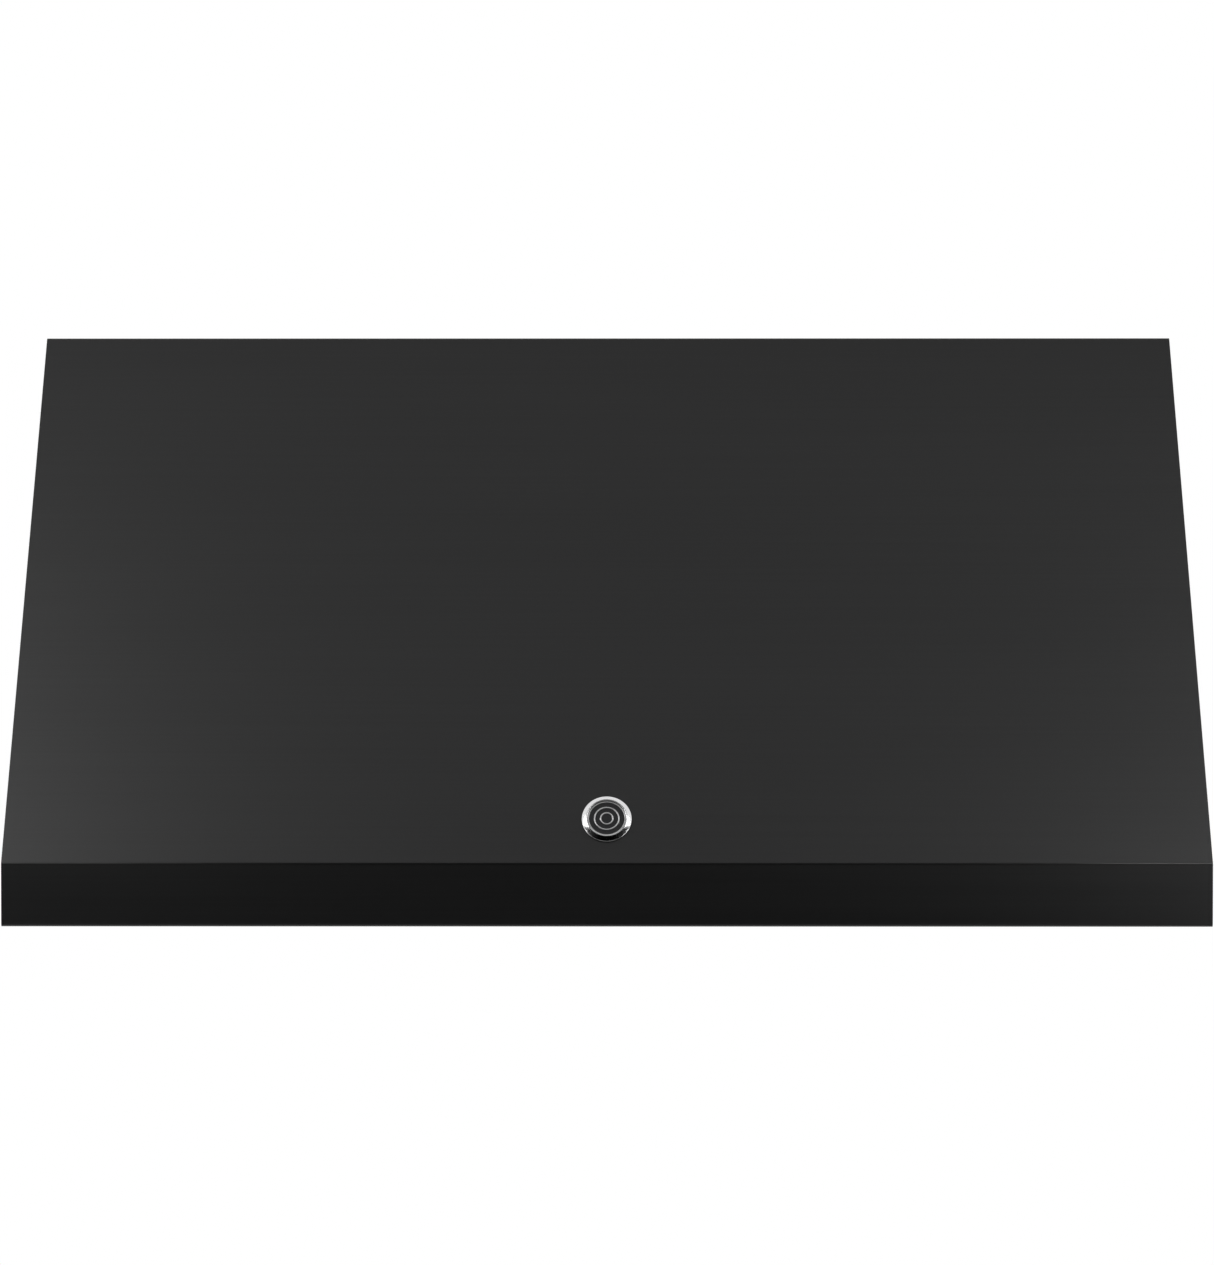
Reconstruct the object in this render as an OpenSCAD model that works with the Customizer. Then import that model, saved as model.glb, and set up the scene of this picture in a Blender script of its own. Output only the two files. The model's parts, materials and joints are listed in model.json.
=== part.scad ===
// Canopy range hood with an internal twin blower: a box of folded sheet with a sloping front over an
// upright lip, and under it a light shelf, three tilting baffle filters and a grease tray.
// X runs along the hood, the front faces -Y, the wall face is at +Y and Z is up.
// The origin is in the middle of the footprint, at the height of the bottom rim.

/* [Canopy] */
// Overall width
hood_w = 914; // [860:2:1000]
// Overall depth, from the wall to the lip
hood_d = 610; // [590:2:640]
// Height from the bottom rim to the top
hood_h = 457; // [445:1:490]
// Height of the upright front lip
lip_h = 48; // [40:1:56]
// Distance that the top edge stands back from the lip
setback = 236; // [216:1:250]
// Thickness of the outer sheet
sheet = 1.2; // [0.9:0.1:1.5]
// Outside radius of the outer sheet's bends
bend_r = 2.5; // [2:0.5:4]
// Width of the flanges that join the outer panels
flange = 20; // [17:1:22]
// Depth of the rim that is folded in under the lip
lip_return = 25; // [20:1:30]
// Width of the front panel's wrap round each side
wrap = 12; // [9:1:16]

/* [Badge] */
// Diameter of the badge
badge_d = 38; // [30:1:46]
// Distance from the lip's bend up the slope to the badge's centre
badge_up = 37; // [30:1:60]
// Height of the badge's bezel
badge_h = 3; // [2:0.5:5]

/* [Liner] */
// Thickness of the liner's sheet
liner_t = 1; // [0.8:0.1:1.2]
// Height of the light shelf above the rim
shelf_z = 22; // [19:1:24]
// Depth of the light shelf, from the lip's inner face to the riser
shelf_depth = 114; // [106:1:122]
// Width of each side channel of the liner
liner_inset = 26; // [24:1:32]

/* [Filters] */
// Thickness of a filter
filter_t = 22; // [18:1:24]
// Slope of the filters down towards the wall
filter_tilt = 11; // [8:1:13]
// Angle through which a filter swings down
filter_swing = 30; // [20:1:30]
// Gap between filters, and beside them
filter_gap = 2; // [1.5:0.5:4]
// Visible width of a filter's frame
frame_rail = 14; // [12:1:18]
// Sheet of a filter's frame
frame_t = 0.8; // [0.6:0.1:1.2]
// Sheet of the baffles
baffle_t = 0.6; // [0.5:0.1:0.9]
// Lower baffles in one filter
baffle_count = 8; // [6:1:9]

/* [Handles] */
// Width of a filter's bail handle between its ears
handle_w = 84; // [60:2:120]
// Drop of a bail handle below its pivot
handle_drop = 27; // [20:1:32]
// Radius of the handle's wire
handle_r = 1.8; // [1.4:0.1:2]

/* [Grease tray] */
// Height of the tray
tray_h = 26; // [20:1:28]
// Height of the tray's floor above the rim
tray_z = 8; // [5:1:10]
// Sheet of the tray
tray_t = 0.8; // [0.6:0.1:1.2]
// Travel of the tray out of its clips
tray_drop = 60; // [40:5:80]

/* [Lights] */
// Distance of each lamp from the hood's side
lamp_inset = 167; // [140:1:215]
// Radius of the shelf's lamp holes
lamp_r = 33; // [28:1:36]
// Height of the lamp housings
lamp_h = 32; // [26:1:38]

/* [Controls] */
// Radius of a push button
button_r = 8; // [6:0.5:9]
// Distance between buttons
button_pitch = 36; // [30:1:40]
// Travel of a button
button_travel = 1.5; // [1:0.1:2]
// Depth of the control strip
strip_d = 40; // [34:1:46]

/* [Blower] */
// Radius of the blower wheels
wheel_r = 76; // [68:1:80]
// Width of one blower wheel
wheel_w = 86; // [70:1:96]
// Blades on one wheel
blade_count = 36; // [28:1:44]
// Growth of the scroll's radius from its cut-off to its outlet
scroll_growth = 34; // [24:1:38]
// Sheet of the scrolls and the plenum
scroll_t = 1; // [0.8:0.1:1.2]
// Radius of the motor
motor_r = 55; // [45:1:62]
// Length of the motor
motor_len = 100; // [80:2:120]
// Radius of the motor shaft
shaft_r = 4; // [3:0.5:6]

/* [Duct] */
// Radius of the round duct that slides into the collar
duct_r = 101.6; // [88:0.1:104]
// Clearance of the duct in the collar, on the radius
duct_clear = 0.4; // [0.2:0.1:0.5]
// Depth of the collar
collar_h = 62; // [54:1:66]
// Height of the plenum between the scrolls and the top
plenum_h = 93; // [86:1:100]
// Angle through which a damper flap opens
flap_open = 78; // [45:1:80]

/* [Hanging and wiring] */
// Radius of the wall screw holes
wall_hole_r = 4; // [3:0.5:5]
// Distance between wall screws along X, one stud bay
wall_hole_x = 406.4; // [380:0.1:430]
// Distance between the two rows of wall screws
wall_hole_z = 220; // [180:5:240]
// Height of the lower row of wall screws
wall_hole_low = 180; // [160:5:200]
// Radius of the conduit knockout
conduit_r = 11.1; // [9:0.1:14]

/* [Hidden] */
FILTERS = ["left", "center", "right"];
BUTTONS = ["light", "off", "low", "medium", "high"];

// Finishes
slate = [0.21, 0.21, 0.21];
stainless = [0.72, 0.72, 0.73];
galvanised = [0.62, 0.64, 0.66];
chrome = [0.88, 0.88, 0.9];
black_plastic = [0.06, 0.06, 0.06];
rubber = [0.1, 0.1, 0.1];

// Clearances
seam = 0.3;     // between panels that meet edge to edge
play = 0.3;     // between a loose piece and its seat
running = 0.1;  // on the radius, between a pin and its bore
over = 1;       // how far a cut runs past the face that it opens

// The hood's own planes
half_w = hood_w / 2;
front_y = -hood_d / 2;
back_y = hood_d / 2;
top_front_y = front_y + setback;
inner_half = half_w - sheet - seam;
top_under = hood_h - 2 * sheet;
slope_angle = atan(setback / (hood_h - lip_h));

// Screws
screw_r = 2;
screw_head_r = 3.6;
screw_head_h = 2.2;
screw_hole_r = screw_r + 0.2;
screw_tail = 2;
slot_w = 0.8;
slot_depth = 1;

// Filters: they pivot on a round nose along their rear edge, and the riser clears their swing
nose_r = 4;
neck = 8;
neck_t = 1.5;
gutter_r = nose_r + play;
rail_t = 1.2;
rail_depth = 93;
rail_rise = 27;
pivot_y = back_y - rail_depth;
pivot_z = tray_z + tray_h + rail_rise;
riser_y = front_y + sheet + shelf_depth;
swing_gap = 1.5;
swing_r = pivot_y - riser_y - swing_gap;
filter_len = sqrt(swing_r * swing_r - filter_t * filter_t / 4);
filter_half_span = half_w - liner_inset;
filter_w = (2 * filter_half_span - (len(FILTERS) + 1) * filter_gap) / len(FILTERS);
filter_top_z = pivot_z + filter_len * sin(filter_tilt) + filter_t / 2 * cos(filter_tilt);
riser_over = 10;
riser_top = filter_top_z + riser_over;
riser_hem = 15;
clip_t = 0.8;
clip_z = filter_top_z - 2 * clip_t;
clip_w = 22;
clip_foot = 34;
clip_head = 7;
shelf_mid_y = (front_y + sheet + riser_y) / 2;
shelf_top = shelf_z + liner_t;
shelf_hem = 16;
liner_bend = 2;

// Handles
ear_w = 3;
ear_r = 4;
ear_drop = 6.5;
handle_y = -(filter_len - frame_rail / 2);
handle_z = -(filter_t / 2 + ear_drop);

// Tray: it reaches under the pivots and stops short of the back panel's flange
tray_reach = 24;
tray_gap = 6;
tray_front = pivot_y - tray_reach;
tray_back = back_y - flange - 2;
tray_half = half_w - liner_inset - tray_gap;
tray_clip_w = 14;
tray_clip_apart = 48;

// Lights
lamp_x = half_w - lamp_inset;

// Controls
strip_end = 16;
strip_half = (len(BUTTONS) - 1) / 2 * button_pitch + button_r + strip_end;
strip_t = 3;
strip_proud = 1.8;
strip_rim = [6, 5];
button_proud = 2.4;
button_flange = 1.6;
button_lip = 1.4;
button_gap = 0.25;
stem_r = 2.5;
switch_w = 6;
switch_h = 4;
board_rise = 12;
board_t = 1.6;
board_d = 48;
board_z = shelf_top + board_rise;
cover_half_w = strip_half + 6;
cover_d = 60;
cover_t = 2;
cover_room = 16;

// Blower
wheel_gap = 5;
scroll_side = motor_len / 2 + 2;
scroll_w = wheel_w + 2 * wheel_gap;
scroll_r = wheel_r + 8;
scroll_from = 65;
scroll_max = scroll_r + scroll_growth;
plenum_z = top_under - plenum_h;
blower_z = plenum_z - scroll_max - 4;
duct_y = (top_front_y + back_y) / 2;
blower_y = duct_y - 60;
inlet_r = wheel_r - 14;
boss_r = 22;
boss_hole_r = boss_r + 8;
outlet_front = blower_y + scroll_r * cos(scroll_from);
outlet_back = blower_y + scroll_max;
outlet_flange = 8;
plenum_room = 6;
plenum_half_w = scroll_side + scroll_w + outlet_flange + 2;
plenum_front = duct_y - duct_r - plenum_room;
plenum_back = duct_y + duct_r + plenum_room;
plenum_flange = [12, 8];

// Collar and damper
collar_r = duct_r + duct_clear;
collar_t = 1;
collar_lip = 14;
collar_top = hood_h - sheet + collar_t;
collar_bottom = collar_top - collar_h;
sleeve_r = collar_r - 1.6;
rod_r = 2;
rod_z = collar_bottom + 12;
flap_t = 0.8;
flap_r = sleeve_r - 2.5;
knuckle_r = rod_r + 1.4;
shoulder_z = rod_z + knuckle_r + 2;
knuckle_w = 24;

// Junction box, in the rear left corner under the top
box_size = [110, 84, 50];
box_inset = [60, 24];
box_x = -half_w + box_inset[0];
box_y = back_y - box_inset[1] - box_size[1];
box_t = 1;
conduit_x = box_x + box_size[0] / 2;
conduit_y = box_y + box_size[1] / 2;

// Rear duct opening and its cover
rear_duct = [254, 83];
rear_duct_drop = 62;
rear_duct_z = hood_h - rear_duct_drop;
cover_margin = 14;

// ---------- Bent sheet ----------
// A bent sheet is drawn by the path of one face. Its thickness lies on the path's right.

function unit(v) = v / norm(v);
function right_of(u) = [u[1], -u[0]];
function turn_of(u, v) = (atan2(v[1], v[0]) - atan2(u[1], u[0]) + 540) % 360 - 180;
function backwards(list) = [for (i = [len(list) - 1:-1:0]) list[i]];

// One bend of outside radius r, on the face that lies d inside the path
function bend(p, u, v, t, r, d, steps) =
    let (
        nu = right_of(u),
        nv = right_of(v),
        miter = (nu + nv) / (1 + nu * nv),
        turn = turn_of(u, v),
        start = atan2(nu[1], nu[0])
    )
    [
        for (i = [0:steps])
            let (a = start + turn * i / steps, n = [cos(a), sin(a)])
            turn < 0 ? p + r * miter - (r - d) * n : p - (r - t) * miter + (r - t + d) * n
    ];

function face(path, t, r, d, steps) =
    let (last = len(path) - 1)
    concat(
        [path[0] + d * right_of(unit(path[1] - path[0]))],
        [
            for (i = [1:last - 1])
                each bend(path[i], unit(path[i] - path[i - 1]), unit(path[i + 1] - path[i]), t, r, d, steps)
        ],
        [path[last] + d * right_of(unit(path[last] - path[last - 1]))]
    );

function strip(path, t, r, steps = 4) =
    concat(face(path, t, r, 0, steps), backwards(face(path, t, r, t, steps)));

// Profiles are drawn in the plane that they face, then run along the hood or from front to back
module along_x(length) {
    rotate([90, 0, 90]) linear_extrude(length, center = true) children();
}

module along_y(from, to) {
    translate([0, to, 0]) rotate([90, 0, 0]) linear_extrude(to - from) children();
}

module on_side(side) {
    if (side < 0) mirror([1, 0, 0]) children();
    else children();
}

module block(low, high) {
    translate(low) cube(high - low);
}

module hole_z(x, y, z, r, depth) {
    translate([x, y, z - over]) cylinder(r = r, h = depth + 2 * over);
}

module hole_y(x, y, z, r, depth) {
    translate([x, y - over, z]) rotate([-90, 0, 0]) cylinder(r = r, h = depth + 2 * over);
}

// Pan-head screw with a cross recess, its head on z = 0 and its shank below
module screw(shank) {
    difference() {
        union() {
            cylinder(r1 = screw_head_r, r2 = 0.72 * screw_head_r, h = screw_head_h);
            translate([0, 0, -shank]) cylinder(r = screw_r, h = shank);
        }
        for (turn = [0, 90])
            rotate([0, 0, turn])
                translate([0, 0, screw_head_h]) cube([screw_head_r, slot_w, 2 * slot_depth], center = true);
    }
}

// ---------- Outer panels ----------

lip_in = [1, 0];
slope_in = right_of(unit([setback, hood_h - lip_h]));

front_path = [
    [front_y + lip_return, 0],
    [front_y, 0],
    [front_y, lip_h],
    [top_front_y, hood_h],
    [top_front_y + flange, hood_h]
];

// The front's outline in side view, d inside its outer face, from the rim to the top
function front_edge(d) = [
    [front_y + d, 0],
    [front_y, lip_h] + d * (lip_in + slope_in) / (1 + lip_in * slope_in),
    [top_front_y + d / slope_in[0], hood_h]
];

function front_bend(i) =
    bend(
        front_path[i],
        unit(front_path[i] - front_path[i - 1]),
        unit(front_path[i + 1] - front_path[i]),
        sheet, bend_r, 0, 4
    );

// Lip, slope and their folded rims, with the wrap that closes each side
module front_panel() {
    top_end = front_edge(wrap)[2] - [sheet * tan(slope_angle) + seam, 0];
    full_path = concat([front_edge(wrap)[0]], [for (i = [1:3]) front_path[i]], [top_end]);
    wrap_outline = concat([for (i = [1:3]) each front_bend(i)], backwards(front_edge(wrap)));
    color(slate) difference() {
        union() {
            along_x(hood_w) polygon(strip(full_path, sheet, bend_r));
            along_x(2 * inner_half) polygon(strip(front_path, sheet, bend_r));
            for (side = [-1, 1])
                translate([side * (half_w - sheet / 2), 0, 0]) along_x(sheet) polygon(wrap_outline);
        }
        badge_place() badge_studs(stud_r + running);
    }
}

module side_panel(side) {
    outline = concat(front_edge(wrap + seam), [[back_y - sheet, hood_h], [back_y - sheet, 0]]);
    rear_end = back_y - flange - seam;
    color(slate) on_side(side) difference() {
        union() {
            translate([half_w - sheet / 2, 0, 0]) along_x(sheet) polygon(outline);
            block([half_w - flange, front_y + lip_return + seam, 0], [half_w, rear_end, sheet]);
            block(
                [half_w - flange, top_front_y + flange + seam, hood_h - sheet],
                [half_w, rear_end, hood_h]
            );
            block(
                [half_w - flange, back_y - 2 * sheet, sheet + seam],
                [half_w, back_y - sheet, top_under - seam]
            );
        }
        for (y = side_screw_ys) hole_z(half_w - flange / 2, y, hood_h - sheet, screw_hole_r, sheet);
    }
}

side_screw_front = 85;
side_screw_back = 65;
side_screw_pitch = (back_y - side_screw_back - top_front_y - side_screw_front) / 2;
side_screw_ys = [for (i = [0:2]) top_front_y + side_screw_front + i * side_screw_pitch];
rear_screw_xs = [for (i = [-3:2:3]) i * hood_w / 8];
collar_screws = 6;
top_hole_r = 3.5;
top_hole_inset = 75;
top_hole_x = hood_w - 2 * top_hole_inset;
top_hole_y = 130;

module collar_screw_places() {
    for (i = [0:collar_screws - 1])
        translate([0, duct_y, 0]) rotate([0, 0, 30 + i * 360 / collar_screws])
            translate([collar_r + collar_t + collar_lip / 2, 0, 0]) children();
}

module top_panel() {
    color(slate) difference() {
        block([-inner_half, top_front_y + 4, top_under], [inner_half, back_y - sheet, hood_h - sheet]);
        hole_z(0, duct_y, top_under, collar_r + collar_t + play, sheet);
        hole_z(conduit_x, conduit_y, top_under, conduit_r, sheet);
        for (side = [-1, 1]) {
            for (y = side_screw_ys) hole_z(side * (half_w - flange / 2), y, top_under, screw_hole_r, sheet);
            for (y = [-1, 1])
                hole_z(side * top_hole_x / 2, duct_y + y * top_hole_y / 2, top_under, top_hole_r, sheet);
        }
        for (x = rear_screw_xs) hole_z(x, back_y - flange / 2, top_under, screw_hole_r, sheet);
        collar_screw_places() hole_z(0, 0, top_under, screw_hole_r, sheet);
    }
}

module back_panel() {
    color(galvanised) difference() {
        union() {
            block([-half_w, back_y - sheet, 0], [half_w, back_y, hood_h]);
            block([-inner_half, back_y - flange, 0], [inner_half, back_y, sheet]);
            block([-inner_half, back_y - flange, hood_h - sheet], [inner_half, back_y, hood_h]);
        }
        for (x = [-1, 1], z = [wall_hole_low, wall_hole_low + wall_hole_z])
            hole_y(x * wall_hole_x / 2, back_y - sheet, z, wall_hole_r, sheet);
        translate([0, back_y, rear_duct_z]) cube([rear_duct[0], 4 * sheet, rear_duct[1]], center = true);
        duct_cover_holes() hole_y(0, back_y - sheet, 0, screw_hole_r, sheet);
        for (x = rear_screw_xs) hole_z(x, back_y - flange / 2, hood_h - sheet, screw_hole_r, sheet);
    }
}

module duct_cover_holes() {
    for (x = [-1, 1], z = [-1, 1])
        translate([
            x * (rear_duct[0] + cover_margin) / 2,
            0,
            rear_duct_z + z * (rear_duct[1] + cover_margin) / 2
        ]) children();
}

// Plate inside the wall that closes the rear duct opening
module duct_cover() {
    half = [rear_duct[0] / 2 + cover_margin, rear_duct[1] / 2 + cover_margin];
    color(galvanised) difference() {
        block(
            [-half[0], back_y - 2 * sheet, rear_duct_z - half[1]],
            [half[0], back_y - sheet, rear_duct_z + half[1]]
        );
        duct_cover_holes() hole_y(0, back_y - 2 * sheet, 0, screw_hole_r, sheet);
    }
}

// The screws of the top, the collar and the rear duct cover
module casing_screws() {
    color(galvanised) {
        for (side = [-1, 1], y = side_screw_ys)
            translate([side * (half_w - flange / 2), y, hood_h]) screw(2 * sheet + screw_tail);
        for (x = rear_screw_xs) translate([x, back_y - flange / 2, hood_h]) screw(2 * sheet + screw_tail);
        collar_screw_places() translate([0, 0, collar_top]) screw(collar_t + sheet + screw_tail);
        duct_cover_holes() translate([0, back_y - 2 * sheet, 0]) rotate([90, 0, 0]) screw(2 * sheet);
    }
}

// ---------- Badge ----------

stud_r = 1.25;
stud_tail = 1.5;
stud_out = 0.33;
badge_rim = 4.4;

// Carries z = 0 to the slope's outer face, with +Z out of it and +Y up it
module badge_place() {
    translate([0, front_y + badge_up * sin(slope_angle), lip_h + badge_up * cos(slope_angle)])
        rotate([90 - slope_angle, 0, 0]) children();
}

module badge_studs(r) {
    for (x = [-1, 1])
        translate([x * badge_d * stud_out, 0, -sheet - stud_tail])
            cylinder(r = r, h = sheet + stud_tail + running);
}

// Domed bezel with two studs that pass through the front panel
module badge_ring() {
    r = badge_d / 2;
    color(chrome) badge_place() {
        rotate_extrude($fn = 96)
            polygon([
                [0, 0],
                [r, 0],
                [r, badge_h * 0.27],
                [r - badge_rim * 0.07, badge_h * 0.6],
                [r - badge_rim * 0.25, badge_h * 0.88],
                [r - badge_rim * 0.48, badge_h],
                [r - badge_rim * 0.7, badge_h * 0.88],
                [r - badge_rim, badge_h * 0.5],
                [0, badge_h * 0.5]
            ]);
        badge_studs(stud_r);
    }
}

// Plain insert with a raised ring
module badge_disc() {
    r = badge_d / 2 - badge_rim - play;
    low = badge_h * 0.5;
    bead = 0.8;
    groove = 1;
    color(slate) badge_place()
        rotate_extrude($fn = 96)
            polygon([
                [0, low],
                [r, low],
                [r, low + 0.7],
                [r - bead, low + 0.7],
                [r - bead, low + 0.4],
                [r - bead - groove, low + 0.4],
                [r - bead - groove, low + 0.6],
                [0, low + 0.6]
            ]);
}

// ---------- Liner ----------

// Shelf behind the lip, with the riser in front of the filters
module light_shelf() {
    path = [
        [riser_y - riser_hem, riser_top],
        [riser_y, riser_top],
        [riser_y, shelf_z],
        [front_y + sheet, shelf_z],
        [front_y + sheet, shelf_z + shelf_hem]
    ];
    color(stainless) difference() {
        along_x(2 * inner_half) polygon(strip(path, liner_t, liner_bend));
        for (side = [-1, 1]) hole_z(side * lamp_x, shelf_mid_y, shelf_z, lamp_r, liner_t);
        strip_block(0, shelf_z - over, shelf_top + over);
    }
}

module liner(side) {
    path = [
        [inner_half, sheet],
        [half_w - liner_inset, sheet],
        [half_w - liner_inset, riser_top],
        [inner_half, riser_top]
    ];
    color(stainless) on_side(side)
        along_y(riser_y + seam, back_y - 2 * sheet - seam) polygon(strip(path, liner_t, liner_bend));
}

// Rail along the wall, with the gutter that the filters pivot in
module rear_rail() {
    wall_y = back_y - sheet - pivot_y;
    gutter_from = 180 - filter_tilt + filter_swing + asin(neck_t / 2 / gutter_r) + 3;
    outer = gutter_r + rail_t;
    color(stainless) translate([0, pivot_y, pivot_z]) along_x(2 * (filter_half_span - seam)) {
        difference() {
            circle(outer);
            circle(gutter_r);
            translate([-2 * outer, 0]) square(4 * outer);
            polygon([[0, 0], 3 * outer * [cos(gutter_from), sin(gutter_from)], [-3 * outer, 0]]);
        }
        translate([gutter_r, -rail_t]) square([wall_y - gutter_r, rail_t]);
        translate([wall_y - rail_t, -rail_t]) square([rail_t, flange]);
    }
}

function filter_x(i) = (i - (len(FILTERS) - 1) / 2) * (filter_w + filter_gap);

// Two leaf springs for each filter, on the riser
module filter_clips() {
    nose_y = pivot_y - sqrt(swing_r * swing_r - pow(clip_z - pivot_z, 2)) - play;
    color(stainless)
        for (i = [0:len(FILTERS) - 1], side = [-1, 1])
            translate([filter_x(i) + side * filter_w / 4, 0, 0])
                along_x(clip_w)
                    polygon([
                        [riser_y, clip_z - clip_foot],
                        [riser_y + clip_t, clip_z - clip_foot],
                        [riser_y + clip_t, clip_z - 0.8 * clip_foot],
                        [nose_y, clip_z],
                        [nose_y - clip_t, clip_z + 2 * clip_t],
                        [riser_y, clip_z + clip_head],
                        [riser_y, clip_z + clip_head - clip_t],
                        [nose_y - 2 * clip_t, clip_z],
                        [riser_y, clip_z - 0.8 * clip_foot + clip_t]
                    ]);
}

// Spring blocks on the liner that grip the tray's ends
module tray_clips() {
    liner_face = half_w - liner_inset;
    leaf = liner_face - 1.4;
    tray_face = tray_half + play;
    tray_top = tray_z + tray_h;
    for (side = [-1, 1], end = [-1, 1]) {
        y = (tray_front + tray_back + end * tray_clip_apart) / 2;
        color(stainless) on_side(side) along_y(y - tray_clip_w / 2, y + tray_clip_w / 2)
            polygon([
                [liner_face, tray_z + 4],
                [liner_face, tray_top + 6],
                [leaf, tray_top + 6],
                [leaf, tray_top],
                [tray_face, tray_top - 7],
                [tray_face, tray_top - 11],
                [leaf, tray_z + 4]
            ]);
    }
}

module grease_tray() {
    color(stainless) difference() {
        block([-tray_half, tray_front, tray_z], [tray_half, tray_back, tray_z + tray_h]);
        block(
            [-tray_half + tray_t, tray_front + tray_t, tray_z + tray_t],
            [tray_half - tray_t, tray_back - tray_t, tray_z + tray_h + over]
        );
    }
}

// ---------- Filters ----------

// Carries the filter's pivot to the origin: the filter runs to -Y, with its thickness along Z
module filter_place(i) {
    translate([filter_x(i), pivot_y, pivot_z]) rotate([-filter_tilt, 0, 0]) children();
}

// Folded channel frame, with the round nose along its rear edge and the ears of its handle
module filter_frame(i) {
    half = filter_w / 2;
    thick = filter_t / 2;
    color(stainless) filter_place(i) {
        difference() {
            block([-half, -filter_len, -thick], [half, -neck, thick]);
            block(
                [-half + frame_rail, -filter_len + frame_rail, -thick - over],
                [half - frame_rail, -neck - frame_rail, thick + over]
            );
            block(
                [-half + frame_t, -filter_len + frame_t, -thick + frame_t],
                [half - frame_t, -neck - frame_t, thick - frame_t]
            );
        }
        block([-half + nose_r, -neck - frame_t / 2, -neck_t / 2], [half - nose_r, 0, neck_t / 2]);
        rotate([0, 90, 0]) cylinder(r = nose_r, h = filter_w - 2 * nose_r, center = true);
        for (side = [-1, 1])
            translate([side * (handle_w + ear_w) / 2, handle_y, handle_z]) handle_ear();
    }
}

module handle_ear() {
    rotate([0, 90, 0]) difference() {
        union() {
            cylinder(r = ear_r, h = ear_w, center = true);
            translate([-(ear_drop + frame_t) / 2, 0, 0])
                cube([ear_drop + frame_t, 2 * ear_r, ear_w], center = true);
        }
        cylinder(r = handle_r + running, h = ear_w + 2 * over, center = true);
    }
}

baffle_edge = 1;

// Lower baffles open upwards and upper ones downwards, with their edges interleaved
module filter_baffles(i) {
    seat = frame_t + play;
    pitch = (filter_w - 2 * seat) / baffle_count;
    lower_x = 0.31 * pitch;
    upper_x = 0.36 * pitch;
    reach = filter_t / 2 - seat;
    lower = [[lower_x, baffle_edge], [lower_x, -reach], [-lower_x, -reach], [-lower_x, baffle_edge]];
    upper = [[-upper_x, -baffle_edge], [-upper_x, reach], [upper_x, reach], [upper_x, -baffle_edge]];
    color(stainless) filter_place(i)
        for (k = [0:2 * baffle_count - 2])
            translate([(k + 1 - baffle_count) / 2 * pitch, 0, 0])
                along_y(-filter_len + seat, -neck - seat)
                    polygon(strip(k % 2 == 0 ? lower : upper, baffle_t, 3 * baffle_t));
}

leg_inset = 5;
pin_tail = 1.5;
handle_bend = 7;

// Wire bail that hangs straight down from its ears
module filter_handle(i) {
    leg_x = handle_w / 2 - leg_inset;
    pin = leg_inset + ear_w + pin_tail;
    pivot = [
        pivot_y + handle_y * cos(filter_tilt) - handle_z * sin(-filter_tilt),
        pivot_z + handle_y * sin(-filter_tilt) + handle_z * cos(filter_tilt)
    ];
    color(stainless) translate([filter_x(i), pivot[0], pivot[1]]) {
        for (side = [-1, 1]) on_side(side) {
            translate([leg_x, 0, 0]) rotate([0, 90, 0]) cylinder(r = handle_r, h = pin);
            translate([leg_x, 0, 0]) sphere(handle_r);
            translate([leg_x, 0, handle_bend - handle_drop])
                cylinder(r = handle_r, h = handle_drop - handle_bend);
            translate([leg_x - handle_bend, 0, handle_bend - handle_drop]) rotate([90, 0, 0])
                rotate([0, 0, -90]) rotate_extrude(angle = 90) translate([handle_bend, 0]) circle(handle_r);
        }
        translate([0, 0, -handle_drop]) rotate([0, 90, 0])
            cylinder(r = handle_r, h = 2 * (leg_x - handle_bend), center = true);
    }
}

// ---------- Lights ----------

lens_r = lamp_r - 3.5;
lens_t = 3;
lens_ledge = 3.5;
ring_r = lamp_r + 5.5;
ring_proud = 2;
spigot_h = 7;
spigot_t = 1.5;
can_t = 1;
can_flange = 5;
can_taper = 4;
sink_r = lamp_r - 9;
sink_h = 10;
led_r = 2.6;
led_h = 1.2;

// Trim ring under the shelf, with a spigot through its hole and a ledge for the lens
module lamp_ring(side) {
    color(stainless) translate([side * lamp_x, shelf_mid_y, shelf_z])
        rotate_extrude($fn = 96)
            polygon([
                [lens_r - lens_ledge, -ring_proud + 0.8],
                [lens_r - lens_ledge + 1, -ring_proud],
                [ring_r - 1.5, -ring_proud],
                [ring_r, -ring_proud + 1.2],
                [ring_r, 0],
                [lamp_r - seam, 0],
                [lamp_r - seam, spigot_h],
                [lamp_r - seam - spigot_t, spigot_h],
                [lamp_r - seam - spigot_t, 0],
                [lens_r - lens_ledge, 0]
            ]);
}

module lamp_lens(side) {
    color([0.95, 0.97, 1, 0.6]) translate([side * lamp_x, shelf_mid_y, shelf_z])
        cylinder(r = lens_r, h = lens_t);
}

// Outer radius of a lamp's can at height z above the shelf
function housing_r(z) = lamp_r + 2 - can_taper * (z - can_t) / (lamp_h - can_t);

// Can that stands on the shelf over its hole
module lamp_housing(side) {
    color(galvanised) translate([side * lamp_x, shelf_mid_y, shelf_top])
        rotate_extrude($fn = 96)
            polygon([
                [housing_r(can_t) - can_t, 0],
                [housing_r(can_t) + can_flange, 0],
                [housing_r(can_t) + can_flange, can_t],
                [housing_r(can_t), can_t],
                [housing_r(lamp_h), lamp_h],
                [0, lamp_h],
                [0, lamp_h - can_t],
                [housing_r(lamp_h) - can_t, lamp_h - can_t],
                [housing_r(can_t) - can_t, can_t]
            ]);
}

// LED module on a finned heat sink, under the top of the can
module lamp_module(side) {
    color(black_plastic) translate([side * lamp_x, shelf_mid_y, shelf_top + lamp_h - can_t - sink_h]) {
        cylinder(r = sink_r, h = sink_h - play);
        for (a = [0:45:315])
            rotate([0, 0, a]) translate([0.55 * sink_r, 0, -led_h]) cylinder(r = led_r, h = 2 * led_h);
    }
}

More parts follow.
